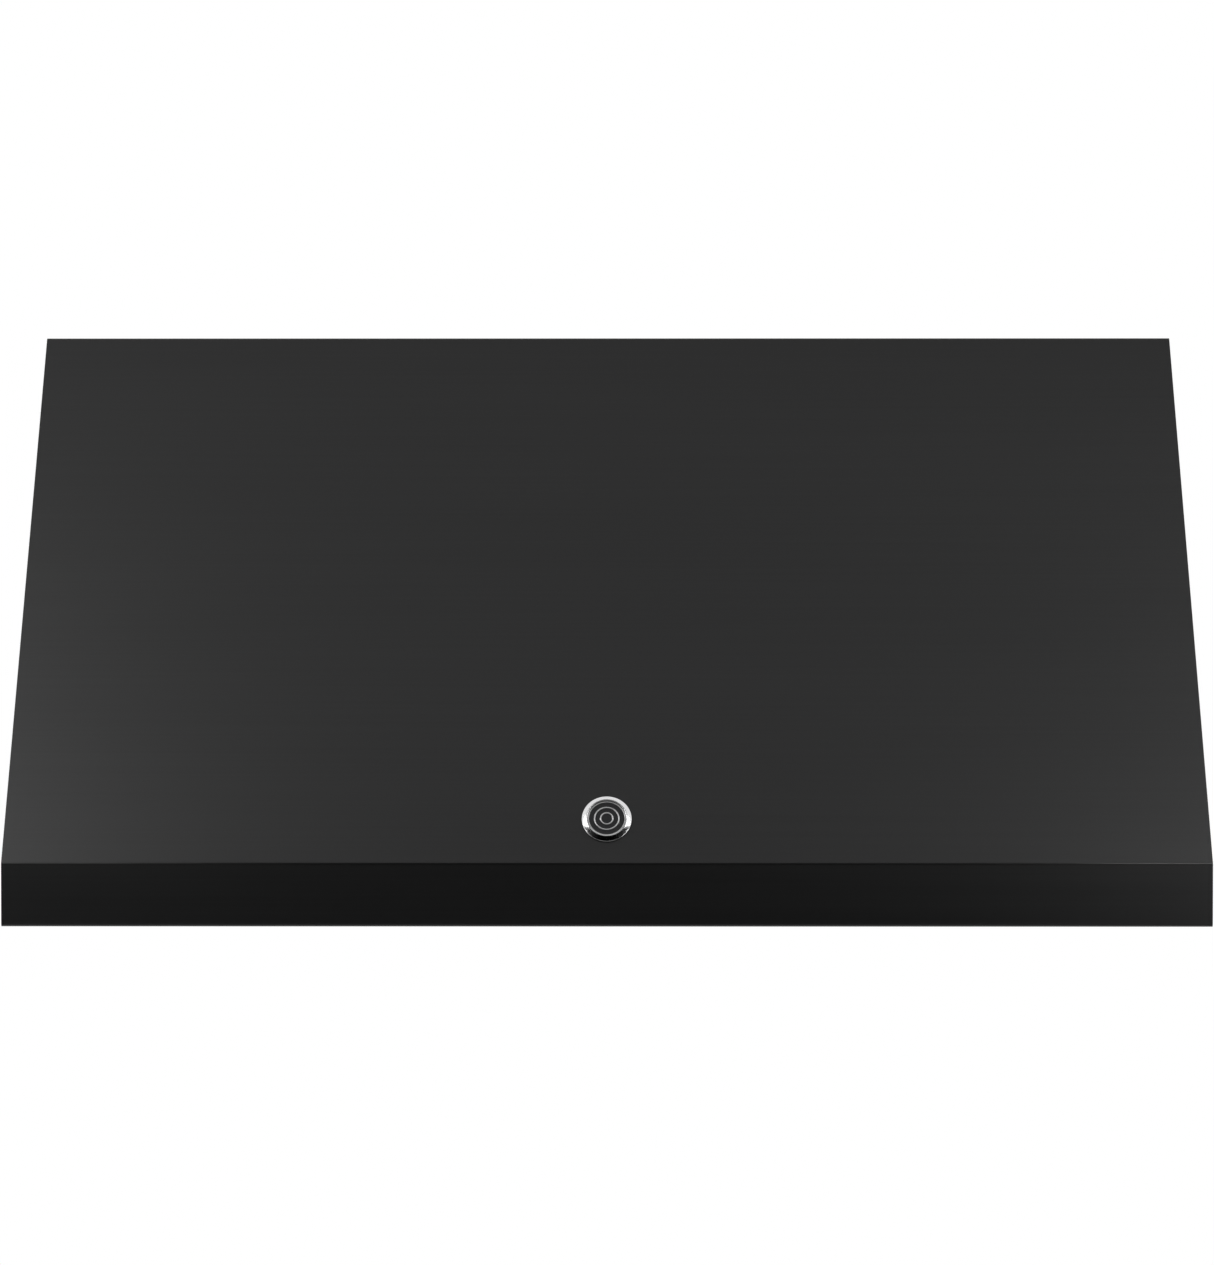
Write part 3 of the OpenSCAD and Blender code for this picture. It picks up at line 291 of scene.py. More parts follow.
@finish
def slate():
    """Matt dark sheet with a faint grain along the hood, smoother where it is folded over the lip."""
    graph = Finish("slate")
    tone = colours().slate
    grain = graph.noise(graph.mapped((3.0, 700.0, 700.0)), detail=3.0)
    cloud = graph.noise(graph.mapped((2.0, 9.0, 9.0)), detail=2.0)
    speck = graph.noise(graph.mapped((1500.0, 1500.0, 1500.0)), detail=1.0)
    shade = grain * 0.6 + cloud * 0.4
    half = sizes().fold / 2
    middle = (0.0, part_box("front_panel")[0].y, lip_height() + half)
    inputs = {0: graph.mapped((0.0, 1.0, 1.0)), 1: middle}
    away = graph.node("ShaderNodeVectorMath", {"operation": "DISTANCE"}, inputs, output="Value")
    rubbed = 1.0 - graph.ramp(away, half + 0.0001, half + 0.001)
    rough = graph.ramp(cloud, 0.2, 0.8) * 0.03 + grain * 0.05 + 0.36
    return graph.surface(
        Base_Color=graph.tint(scaled(tone, 0.9), scaled(tone, 1.1), graph.ramp(shade, 0.3, 0.7)),
        Metallic=0.4,
        Specular_IOR_Level=0.8,
        Roughness=rough * (1.0 - rubbed * 0.25),
        Normal=graph.bump(grain * 0.7 + speck * 0.3, 0.00002, 0.5),
    )


def brushed(name, along, tone, rough):
    """Brushed sheet whose grain runs along one axis."""
    graph = Finish(name)
    scale = tuple(6.0 if axis == along else 1400.0 for axis in "xyz")
    grain = graph.noise(graph.mapped(scale), detail=4.0, rough=0.65)
    smear = graph.noise(graph.mapped(tuple(value * 0.06 for value in scale)), detail=3.0)
    cloud = graph.noise(graph.place, scale=14.0, detail=3.0)
    shade = grain * 0.5 + smear * 0.3 + cloud * 0.2
    return graph.surface(
        Base_Color=graph.tint(scaled(tone, 0.82), scaled(tone, 1.12), graph.ramp(shade, 0.3, 0.7)),
        Metallic=1.0,
        Roughness=shade * 0.16 + rough,
        Normal=graph.bump(grain * 0.8 + smear * 0.2, 0.00002, 0.6),
    )


@finish
def stainless():
    return brushed("stainless", "x", colours().stainless, 0.24)


@finish
def stainless_lengthwise():
    return brushed("stainless_lengthwise", "y", colours().stainless, 0.24)


@finish
def galvanised():
    """Zinc coating with its crystal spangle."""
    graph = Finish("galvanised")
    tone = colours().galvanised
    bent = graph.node(
        "ShaderNodeVectorMath",
        {"operation": "ADD"},
        {0: graph.mapped((75.0, 75.0, 75.0)), 1: graph.noise(graph.place, scale=120.0, detail=2.0)},
    )
    inputs = {"Vector": bent, "Scale": 1.0}
    cell = graph.node("ShaderNodeTexVoronoi", {"feature": "F1"}, inputs, output="Color")
    flake = graph.node("ShaderNodeSeparateColor", None, {"Color": cell}, output=0)
    frost = graph.noise(graph.place, scale=700.0, detail=3.0)
    dulled = graph.noise(graph.place, scale=9.0, detail=3.0)
    shade = flake * 0.55 + frost * 0.2 + dulled * 0.25
    return graph.surface(
        Base_Color=graph.tint(scaled(tone, 0.78), scaled(tone, 1.18), shade),
        Metallic=0.85,
        Roughness=flake * 0.16 + dulled * 0.12 + 0.33,
        Normal=graph.bump(flake * 0.4 + frost * 0.6, 0.00003, 0.35),
    )


@finish
def plated():
    """Bright zinc plate of screws, pins and shafts."""
    graph = Finish("plated")
    haze = graph.noise(graph.place, scale=900.0, detail=3.0)
    return graph.surface(
        Base_Color=graph.tint((0.5, 0.5, 0.5), (0.68, 0.68, 0.66), haze),
        Metallic=1.0,
        Roughness=haze * 0.15 + 0.22,
        Normal=graph.bump(haze, 0.00001, 0.4),
    )


@finish
def chrome():
    graph = Finish("chrome")
    haze = graph.noise(graph.place, scale=300.0, detail=3.0)
    return graph.surface(
        Base_Color=graph.tint(scaled(colours().chrome, 0.96), colours().chrome, haze),
        Metallic=1.0,
        Roughness=haze * 0.05 + 0.12,
        Normal=graph.bump(haze, 0.000004, 0.3),
    )


@finish
def satin_chrome():
    graph = Finish("satin_chrome")
    haze = graph.noise(graph.place, scale=900.0, detail=3.0)
    return graph.surface(
        Base_Color=graph.tint(scaled(colours().chrome, 0.95), scaled(colours().chrome, 1.08), haze),
        Metallic=1.0,
        Roughness=haze * 0.08 + 0.3,
        Normal=graph.bump(haze, 0.000006, 0.4),
    )


@finish
def spun_dark():
    """Dark disc turned with fine rings about the badge's centre."""
    graph = Finish("spun_dark")
    low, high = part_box("badge_disc")
    middle = (low + high) / 2
    turned = slope_frame(middle).inverted()
    centred = graph.node(
        "ShaderNodeMapping",
        {"vector_type": "POINT"},
        {"Vector": graph.place, "Location": turned.translation, "Rotation": turned.to_euler()},
    )
    rings = graph.node(
        "ShaderNodeTexWave",
        {"wave_type": "RINGS", "rings_direction": "Z", "wave_profile": "SIN"},
        {"Vector": centred, "Scale": 380.0, "Distortion": 0.6, "Detail": 2.0},
        output="Fac",
    )
    grain = graph.noise(graph.place, scale=1600.0, detail=2.0)
    return graph.surface(
        Base_Color=graph.tint((0.022, 0.022, 0.024), (0.05, 0.05, 0.052), rings * 0.6 + grain * 0.4),
        Metallic=0.6,
        Roughness=rings * 0.12 + 0.34,
        Normal=graph.bump(rings * 0.7 + grain * 0.3, 0.00004, 0.6),
    )


def moulded(name, tone, rough, grain_scale=1100.0, depth=0.00003):
    """Plastic or rubber with a moulded texture."""
    graph = Finish(name)
    grain = graph.noise(graph.place, scale=grain_scale, detail=2.0)
    cloud = graph.noise(graph.place, scale=25.0, detail=2.0)
    return graph.surface(
        Base_Color=graph.tint(scaled(tone, 0.85), scaled(tone, 1.25), cloud),
        Roughness=grain * 0.1 + cloud * 0.06 + rough,
        Normal=graph.bump(grain, depth, 0.5),
    )


@finish
def black_plastic():
    return moulded("black_plastic", colours().plastic, 0.36)


@finish
def button_plastic():
    return moulded("button_plastic", scaled(colours().plastic, 1.4), 0.2, 600.0, 0.00001)


@finish
def rubber():
    return moulded("rubber", (0.02, 0.02, 0.02), 0.62, 800.0, 0.00006)


@finish
def motor_paint():
    return moulded("motor_paint", colours().motor, 0.32, 500.0, 0.00005)


@finish
def ink():
    return moulded("ink", colours().ink, 0.45, 900.0, 0.00001)


@finish
def laminations():
    """Stack of thin stator sheets that shows as fine lines round the motor."""
    graph = Finish("laminations")
    lines = graph.node(
        "ShaderNodeTexWave",
        {"wave_type": "BANDS", "bands_direction": "X", "wave_profile": "SAW"},
        {"Vector": graph.place, "Scale": 320.0},
        output="Fac",
    )
    stain = graph.noise(graph.place, scale=60.0, detail=3.0)
    return graph.surface(
        Base_Color=graph.tint((0.16, 0.16, 0.165), (0.34, 0.33, 0.32), lines * 0.6 + stain * 0.4),
        Metallic=0.9,
        Roughness=stain * 0.15 + 0.38,
        Normal=graph.bump(lines, 0.0001, 0.6),
    )


@finish
def capacitor_can():
    graph = Finish("capacitor_can")
    drawn = graph.noise(graph.mapped((4.0, 500.0, 500.0)), detail=3.0)
    return graph.surface(
        Base_Color=graph.tint((0.5, 0.5, 0.5), (0.66, 0.66, 0.65), drawn),
        Metallic=0.95,
        Roughness=drawn * 0.12 + 0.3,
        Normal=graph.bump(drawn, 0.00003, 0.5),
    )


@finish
def circuit_board():
    """Green solder resist over copper tracks."""
    graph = Finish("circuit_board")
    tone = colours().board
    tracks = graph.node(
        "ShaderNodeTexBrick",
        {"offset": 0.5, "squash": 1.0},
        {"Vector": graph.place, "Scale": 90.0, "Mortar Size": 0.06, "Mortar Smooth": 0.1},
        output="Fac",
    )
    return graph.surface(
        Base_Color=graph.tint(tone, scaled(tone, 1.9), tracks),
        Roughness=tracks * 0.1 + 0.26,
        Normal=graph.bump(tracks, 0.00005, 0.5),
    )


@finish
def frosted_glass():
    """Lamp lens, frosted on its inner face."""
    graph = Finish("frosted_glass")
    frost = graph.noise(graph.place, scale=1800.0, detail=2.0)
    return graph.surface(
        Base_Color=graph.tint((0.86, 0.88, 0.88), (0.96, 0.97, 0.97), frost),
        Roughness=frost * 0.15 + 0.18,
        IOR=1.46,
        Transmission_Weight=0.4,
        Normal=graph.bump(frost, 0.00004, 0.5),
    )


@finish
def phosphor():
    """Yellow resin over a light-emitting diode."""
    return moulded("phosphor", (0.75, 0.56, 0.13), 0.3, 500.0, 0.00002)


# Meshes


def slope_frame(point):
    """Turns +Z to the slope's outward normal and +Y up the slope, about a point."""
    return Matrix.Translation(point) @ Matrix.Rotation(math.pi / 2 - slope_tilt(), 4, "X")


def lip_height():
    """Top of the lip's flat face."""
    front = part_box("front_panel")[0].y
    return max(v.co.z for v in frame["nodes"]["front_panel"].data.vertices if v.co.y < front + 0.00001)


def slope_tilt():
    """Angle of the slope from the vertical, from the front panel's own corners."""
    data = frame["nodes"]["front_panel"].data
    low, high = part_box("front_panel")
    top = min(v.co.y for v in data.vertices if v.co.z > high.z - 0.0008)
    return math.atan2(top - low.y, high.z - lip_height())


def smooth(mesh, angle):
    """Smooths every face, and keeps the edges that turn by more than the angle sharp."""
    mesh.normal_update()
    for face in mesh.faces:
        face.smooth = True
    for edge in mesh.edges:
        edge.smooth = len(edge.link_faces) == 2 and edge.calc_face_angle(0.0) < math.radians(angle)


def piece(name, mesh, body, material, *nodes, angle=35.0):
    """Makes an object from a bmesh, tied to its body, in place of the nodes named."""
    smooth(mesh, angle)
    data = bpy.data.meshes.new(name)
    mesh.to_mesh(data)
    mesh.free()
    data.materials.append(material)
    made = bpy.data.objects.new(name, data)
    bpy.context.scene.collection.objects.link(made)
    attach(made, body)
    if nodes:
        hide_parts(*nodes)
    made.modifiers.new("flat_faces", "WEIGHTED_NORMAL").keep_sharp = True
    return made


def body_of(node):
    return frame["nodes"][node]["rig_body"]


def soften(mesh, width, segments=2, angle=32.0):
    """Rounds the edges that turn by more than the angle."""
    sharp = [
        edge
        for edge in mesh.edges
        if len(edge.link_faces) == 2 and edge.calc_face_angle(0.0) > math.radians(angle)
    ]
    bmesh.ops.bevel(
        mesh,
        geom=sharp,
        offset=width,
        offset_type="OFFSET",
        affect="EDGES",
        segments=segments,
        profile=0.5,
        material=-1,
        clamp_overlap=True,
    )


def welded(node):
    """Copy of a CAD node's mesh with its loose triangles joined into whole faces."""
    mesh = bmesh.new()
    mesh.from_mesh(frame["nodes"][node].data)
    bmesh.ops.remove_doubles(mesh, verts=mesh.verts, dist=WELD_DISTANCE)
    bmesh.ops.dissolve_limit(mesh, angle_limit=math.radians(0.2), verts=mesh.verts, edges=mesh.edges)
    return mesh


def refined(node, material, width=0.0, segments=2, angle=35.0):
    """Welded copy of a node with rounded edges, in place of the node."""
    mesh = welded(node)
    if width:
        soften(mesh, width, segments)
    return piece(f"{node}_finished", mesh, body_of(node), material, node, angle=angle)


def spun(profile, steps=64, closed=False):
    """Turns a profile of (radius, height) points about the Z axis."""
    mesh = bmesh.new()
    verts = [mesh.verts.new((radius, 0.0, height)) for radius, height in profile]
    ends = verts[1:] + ([verts[0]] if closed else [])
    edges = [mesh.edges.new(pair) for pair in zip(verts, ends)]
    bmesh.ops.spin(
        mesh, geom=verts + edges, axis=(0, 0, 1), cent=(0, 0, 0), angle=math.tau, steps=steps, use_merge=True
    )
    bmesh.ops.remove_doubles(mesh, verts=mesh.verts, dist=WELD_DISTANCE)
    bmesh.ops.recalc_face_normals(mesh, faces=mesh.faces)
    return mesh


def moved(mesh, matrix):
    bmesh.ops.transform(mesh, matrix=matrix, verts=mesh.verts)
    return mesh


def joined(parts):
    """Puts several meshes into one."""
    whole = bmesh.new()
    for part in parts:
        data = bpy.data.meshes.new("part")
        part.to_mesh(data)
        part.free()
        whole.from_mesh(data)
        bpy.data.meshes.remove(data)
    return whole


def block(low, high, width=0.0, segments=2):
    """Box between two corners with rounded edges."""
    mesh = bmesh.new()
    bmesh.ops.create_cube(mesh, size=1.0)
    low, high = Vector(low), Vector(high)
    moved(mesh, Matrix.Translation((low + high) / 2) @ Matrix.Diagonal((*(high - low), 1.0)))
    if width:
        soften(mesh, width, segments)
    return mesh


def rivet_head(radius):
    """Domed head whose seat is the XY plane."""
    steps = 4
    turns = [math.pi / 2 * i / steps for i in range(steps)]
    brim, rise = radius * 0.12, radius * 0.38
    dome = [(radius * math.cos(turn), brim + rise * math.sin(turn)) for turn in turns]
    return spun([(0.0, 0.0), (radius, 0.0), *dome, (0.0, brim + rise)], steps=20)


def screw_head(radius):
    """Hexagonal head on its washer, whose seat is the XY plane."""
    rim, washer_top = 0.0005, 0.0008
    shoulder, head_top = 0.0024, 0.003
    flats, crown = radius * 0.68, radius * 0.58
    washer = [(0.0, 0.0), (radius, 0.0), (radius, rim), (radius * 0.92, washer_top), (0.0, washer_top)]
    head = [(0.0, rim), (flats, rim), (flats, shoulder), (crown, head_top), (0.0, head_top)]
    return joined([spun(washer, steps=24), spun(head, steps=6)])


def facing(point, normal):
    """Carries the XY plane to a point, with +Z along the normal."""
    return Matrix.Translation(point) @ Vector(normal).to_track_quat("Z", "Y").to_matrix().to_4x4()


def center(node):
    low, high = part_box(node)
    return (low + high) / 2


# Pieces


class HoodOperator:
    """What the hood's operators share."""

    bl_options = {"REGISTER", "UNDO"}


class HOOD_OT_casing(HoodOperator, bpy.types.Operator):
    """Folded outer sheets, the wall panel and their screws"""

    bl_idname = "hood.casing"
    bl_label = "Casing"

    def execute(self, context):
        edge = sizes().sheet_edge
        for node in ("front_panel", "left_side_panel", "right_side_panel", "top_panel"):
            refined(node, slate(), edge)
        for node in ("back_panel", "duct_cover"):
            refined(node, galvanised(), edge)
        refined("casing_screws", plated(), edge / 2)
        return {"FINISHED"}


class HOOD_OT_badge(HoodOperator, bpy.types.Operator):
    """Chrome bezel with a plain turned insert"""

    bl_idname = "hood.badge"
    bl_label = "Badge"

    # Each point's distance in from the rim, and its share of the bezel's height
    CROWN = (
        (0.0002, 0.1),
        (0.0, 0.16),
        (0.0, 0.3),
        (0.0001, 0.38),
        (0.0004, 0.45),
        (0.0018, 0.72),
        (0.0033, 0.95),
        (0.0037, 1.0),
        (0.0041, 0.98),
    )
    # Each band's name, its radius as a share of the insert's, and its width
    BANDS = (("edge", 1.0, 0.0008), ("middle", 0.68, 0.001), ("inner", 0.36, 0.001))

    def execute(self, context):
        tilt = slope_tilt()
        outward = Vector((0.0, -math.cos(tilt), math.sin(tilt)))
        low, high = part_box("badge_ring")
        middle = (low + high) / 2
        radius = (high.x - low.x) / 2
        seat = self.seat(outward)
        placed = slope_frame(middle + outward * (seat - middle.dot(outward)))
        brim = radius - sizes().bezel
        bezel = self.bezel(radius, brim, self.top("badge_ring", outward) - seat)
        piece("badge_bezel", moved(bezel, placed), "hood", chrome(), "badge_ring", angle=50.0)
        base = sizes().insert_base
        face = self.top("badge_disc", outward) - seat - sizes().insert_sink
        disc = brim - 0.0003
        insert = spun([(0.0, base), (disc, base), (disc, face), (disc * 0.5, face - 0.0001), (0.0, face)], 96)
        piece("badge_insert", moved(insert, placed), "hood", spun_dark(), "badge_disc")
        rise = sizes().band_rise
        for name, outer, width in self.BANDS:
            loop = self.band(disc * outer, width, face - rise, face + rise)
            piece(f"badge_{name}_band", moved(loop, placed), "hood", satin_chrome())
        return {"FINISHED"}

    def bezel(self, radius, brim, height):
        """Rounded ring that rises to its crown, on a thin closed base."""
        under, floor = 0.0003, 0.0009
        crown = [(radius - inset, height * part) for inset, part in self.CROWN]
        foot = [(0.0, under), (crown[0][0], under)]
        return spun([*foot, *crown, (brim, height * 0.86), (brim, floor), (0.0, floor)], 128)

    def band(self, radius, width, low, high):
        """Flat ring with rounded shoulders."""
        edge = width * 0.2
        outside = [(radius, low), (radius, high - edge), (radius - edge * 0.3, high - edge * 0.3)]
        inside = [(radius - width + (radius - r), h) for r, h in reversed(outside)]
        return spun([*outside, (radius - edge, high), (radius - width + edge, high), *inside], 96, closed=True)

    def top(self, node, outward):
        """Greatest distance of a node along the slope's normal."""
        return max(v.co.dot(outward) for v in frame["nodes"][node].data.vertices)

    def seat(self, outward):
        """Distance of the slope's outer face along its normal."""
        panel = frame["nodes"]["front_panel"].data
        return max(v.co.dot(outward) for v in panel.vertices if v.co.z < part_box("front_panel")[1].z - 0.01)


class HOOD_OT_liner(HoodOperator, bpy.types.Operator):
    """Light shelf, side channels, filter rail, springs and grease tray"""

    bl_idname = "hood.liner"
    bl_label = "Liner"

    def execute(self, context):
        edge = sizes().sheet_edge
        refined("light_shelf", stainless(), edge)
        for side in SIDES:
            refined(f"{side}_liner", stainless_lengthwise(), edge)
        refined("rear_rail", stainless(), edge)
        refined("filter_clips", stainless(), edge / 3)
        refined("tray_clips", stainless(), edge / 2)
        refined("grease_tray", stainless(), edge / 2)
        self.rivets()
        return {"FINISHED"}

    def rivets(self):
        radius = sizes().rivet
        heads = []
        for side, sign in zip(SIDES, (-1.0, 1.0)):
            low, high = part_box(f"{side}_liner")
            face = min(abs(low.x), abs(high.x)) * sign
            for part in (0.08, 0.36, 0.64):
                for height in (0.12, 0.9):
                    spot = Vector((face, low.y + (high.y - low.y) * part, low.z + (high.z - low.z) * height))
                    heads.append(moved(rivet_head(radius), facing(spot, (-sign, 0.0, 0.0))))
        piece("liner_rivets", joined(heads), "hood", plated())


class HOOD_OT_filters(HoodOperator, bpy.types.Operator):
    """Framed baffle filters with riveted ears and wire handles"""

    bl_idname = "hood.filters"
    bl_label = "Filters"

    def execute(self, context):
        edge = sizes().sheet_edge
        for name in FILTERS:
            self.frame(f"filter_frame_{name}", edge / 2)
            refined(f"filter_baffles_{name}", stainless_lengthwise(), edge / 3)
            refined(f"filter_handle_{name}", plated())
        return {"FINISHED"}

    def frame(self, node, edge):
        """Rails butted at the corners, each with its grain along it, and a rivet through every joint."""
        rail = sizes().rail
        low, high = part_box(node)
        mesh = welded(node)
        mesh.normal_update()
        under = max((face for face in mesh.faces if face.normal.z < -0.5), key=lambda face: face.calc_area())
        down = under.normal.copy()
        along = down.cross(Vector((1.0, 0.0, 0.0)))
        reach = [vert.co.dot(along) for vert in under.verts]
        plane = under.verts[0].co.dot(down)
        heads = [
            moved(rivet_head(rail * 0.15), facing(Vector((x, 0.0, 0.0)) + along * part + down * plane, down))
            for x in (low.x + rail / 2, high.x - rail / 2)
            for part in (min(reach) + rail / 2, max(reach) - rail / 2)
        ]
        piece(node.replace("frame", "rivets"), joined(heads), body_of(node), plated())
        for x in (low.x + rail, high.x - rail):
            parts = [*mesh.verts, *mesh.edges, *mesh.faces]
            bmesh.ops.bisect_plane(mesh, geom=parts, dist=0.000001, plane_co=(x, 0.0, 0.0), plane_no=(1.0, 0.0, 0.0))
        soften(mesh, edge)
        for face in mesh.faces:
            middle = face.calc_center_median()
            face.material_index = int(not low.x + rail < middle.x < high.x - rail)
        made = piece(f"{node}_finished", mesh, body_of(node), stainless(), node)
        made.data.materials.append(stainless_lengthwise())


class HOOD_OT_lights(HoodOperator, bpy.types.Operator):
    """Lamp housings, diode modules, lenses and trim rings"""

    bl_idname = "hood.lights"
    bl_label = "Lights"

    def execute(self, context):
        edge = sizes().sheet_edge
        for side in SIDES:
            refined(f"lamp_ring_{side}", stainless(), edge / 2)
            refined(f"lamp_housing_{side}", galvanised())
            refined(f"lamp_module_{side}", black_plastic(), edge)
            self.lens(side)
            self.diodes(side)
        return {"FINISHED"}

    def lens(self, side):
        """Flat outside, with fine concentric ridges inside."""
        node = f"lamp_lens_{side}"
        low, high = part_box(node)
        radius = (high.x - low.x) / 2
        thick = high.z - low.z
        valley = thick * 0.62
        ridged = radius * 0.94
        edge = 0.0006
        ridges = 9
        inside = []
        for i in range(ridges):
            inside += [(ridged * (1.0 - i / ridges), valley), (ridged * (1.0 - (i + 0.7) / ridges), thick)]
        outside = [(0.0, 0.0), (radius - edge, 0.0), (radius, edge), (radius, valley)]
        base = center(node)
        mesh = moved(spun([*outside, *inside, (0.0, thick)], 96), Matrix.Translation((base.x, base.y, low.z)))
        piece(f"{node}_finished", mesh, "hood", frosted_glass(), node, angle=20.0)

    def diodes(self, side):
        """One diode in the middle and eight round it."""
        base = center(f"lamp_module_{side}")
        low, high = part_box(f"lamp_module_{side}")
        half = sizes().led / 2
        foot, top = low.z + 0.0002, low.z + 0.0014
        reach = (high.x - low.x) / 2 * 0.78
        turns = [math.tau * (i + 0.5) / 8 for i in range(8)]
        spots = [(0.0, 0.0), *((reach * math.cos(turn), reach * math.sin(turn)) for turn in turns)]
        chips = [
            block((base.x + x - half, base.y + y - half, foot), (base.x + x + half, base.y + y + half, top), 0.0003)
            for x, y in spots
        ]
        piece(f"diodes_{side}", joined(chips), "hood", phosphor())


class HOOD_OT_controls(HoodOperator, bpy.types.Operator):
    """Control strip with its buttons, printed marks and board"""

    bl_idname = "hood.controls"
    bl_label = "Controls"

    def execute(self, context):
        edge = sizes().moulded_edge
        refined("control_strip", black_plastic(), edge)
        refined("control_box", black_plastic(), edge)
        refined("control_board", circuit_board(), 0.0002)
        refined("control_switches", black_plastic(), 0.0003)
        for name in BUTTONS:
            self.button(name)
        self.marks()
        return {"FINISHED"}

    def button(self, name):
        """Cap with a finger dish, the flange that holds it in and the stem that works the switch."""
        node = f"button_{name}"
        low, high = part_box(node)
        flange = (high.x - low.x) / 2
        cap = flange - sizes().button_flange
        stem = sizes().button_stem
        tall = high.z - low.z
        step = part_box("control_strip")[1].z + sizes().button_play - low.z
        back = step + sizes().button_flange_thick
        depth = sizes().button_dish
        round_off = sizes().button_shoulder
        turns = [math.pi * i / 16 for i in range(9)]
        dish = [(cap * 0.78 * math.sin(turn), depth * math.cos(turn) ** 2) for turn in turns]
        inner = cap - round_off
        crown = [(inner + round_off * math.sin(turn), round_off * (1.0 - math.cos(turn))) for turn in turns[::2]]
        hidden = [(cap, step), (flange, step), (flange, back), (stem, back), (stem, tall), (0.0, tall)]
        profile = [*dish, *crown, *hidden]
        base = center(node)
        mesh = moved(spun(profile, 64), Matrix.Translation((base.x, base.y, low.z)))
        piece(f"{node}_finished", mesh, node, button_plastic(), node)

    def marks(self):
        """Figures and symbols printed on the strip, read from below."""
        low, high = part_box("control_strip")
        row = low.y + sizes().legend * 0.75
        words = {"off": "0", "low": "1", "medium": "2", "high": "3"}
        for name, word in words.items():
            self.print_word(f"mark_{name}", word, center(f"button_{name}").x, row, low.z)
        self.lamp_mark(center("button_light").x, row, low.z)

    def print_word(self, name, word, x, y, z):
        curve = bpy.data.curves.new(name, "FONT")
        curve.body = word
        curve.size = sizes().legend
        curve.align_x = "CENTER"
        curve.align_y = "CENTER"
        holder = bpy.data.objects.new(name, curve)
        bpy.context.scene.collection.objects.link(holder)
        bpy.context.view_layer.update()
        mesh = bmesh.new()
        mesh.from_mesh(holder.to_mesh())
        holder.to_mesh_clear()
        bpy.data.objects.remove(holder)
        bpy.data.curves.remove(curve)
        bmesh.ops.remove_doubles(mesh, verts=mesh.verts, dist=WELD_DISTANCE)
        moved(mesh, Matrix.Translation((x, y, z)) @ Matrix.Rotation(math.pi, 4, "X"))
        self.raise_ink(name, mesh)

    def raise_ink(self, name, mesh):
        """Gives a flat mark the ink's thickness, down from the strip."""
        faces = mesh.faces[:]
        made = bmesh.ops.extrude_face_region(mesh, geom=faces)
        lifted = [item for item in made["geom"] if isinstance(item, bmesh.types.BMVert)]
        bmesh.ops.translate(mesh, vec=(0.0, 0.0, -sizes().legend_ink), verts=lifted)
        bmesh.ops.recalc_face_normals(mesh, faces=mesh.faces)
        piece(name, mesh, "hood", ink())

    def lamp_mark(self, x, y, z):
        """Small sun: a ring with rays."""
        size = sizes().legend
        depth = sizes().legend_ink
        inner, outer = size * 0.15, size * 0.21
        near, far, half = size * 0.29, size * 0.42, size * 0.025
        parts = [spun([(inner, 0.0), (outer, 0.0), (outer, -depth), (inner, -depth)], 32, closed=True)]
        for i in range(8):
            ray = block((near, -half, -depth), (far, half, 0.0))
            parts.append(moved(ray, Matrix.Rotation(math.tau * i / 8, 4, "Z")))
        piece("mark_light", moved(joined(parts), Matrix.Translation((x, y, z))), "hood", ink())


class HOOD_OT_blower(HoodOperator, bpy.types.Operator):
    """Scrolls, wheels, motor and capacitor under the plenum"""

    bl_idname = "hood.blower"
    bl_label = "Blower"

    def execute(self, context):
        edge = sizes().sheet_edge
        for node in ("left_scroll", "right_scroll", "plenum"):
            refined(node, galvanised(), edge / 3)
        refined("inlet_rings", galvanised())
        refined("motor", motor_paint(), edge)
        refined("motor_grommets", rubber())
        refined("motor_shaft", plated(), edge)
        for side in SIDES:
            refined(f"impeller_{side}", galvanised())
        refined("capacitor", capacitor_can(), edge * 2)
        refined("capacitor_strap", galvanised())
        self.stator()
        self.inlet_screws()
        return {"FINISHED"}

    def stator(self):
        """Stack of sheets between the motor's end caps."""
        low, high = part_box("motor")
        radius = (high.z - low.z) / 2 + 0.0004
        bore = radius - 0.002
        half = (high.x - low.x) * 0.18
        profile = [(bore, -half), (radius, -half), (radius, half), (bore, half)]
        turned = Matrix.Translation((low + high) / 2) @ Matrix.Rotation(math.pi / 2, 4, "Y")
        piece("motor_stator", moved(spun(profile, 96, closed=True), turned), "hood", laminations())

    def inlet_screws(self):
        """Six screws through the flange of each bell mouth."""
        low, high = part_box("inlet_rings")
        middle = (low + high) / 2
        radius = (high.z - low.z) / 2
        spots = [vert.co for vert in frame["nodes"]["inlet_rings"].data.vertices]
        face = max(abs(spot.x) for spot in spots if (spot - middle).yz.length > radius - 0.0005)
        reach = radius - 0.0058
        heads = []
        for sign in (-1.0, 1.0):
            for turn in (math.tau * (i + 0.5) / 6 for i in range(6)):
                spot = Vector((sign * face, middle.y + reach * math.cos(turn), middle.z + reach * math.sin(turn)))
                heads.append(moved(screw_head(sizes().screw), facing(spot, (sign, 0.0, 0.0))))
        piece("inlet_screws", joined(heads), "hood", plated())


class HOOD_OT_duct(HoodOperator, bpy.types.Operator):
    """Duct collar with its damper flaps"""

    bl_idname = "hood.duct"
    bl_label = "Duct and damper"

    def execute(self, context):
        edge = sizes().sheet_edge
        refined("duct_collar", galvanised(), edge / 2)
        refined("damper_rod", plated(), edge)
        for node in ("damper_flap_front", "damper_flap_rear"):
            refined(node, galvanised(), edge / 2)
        return {"FINISHED"}


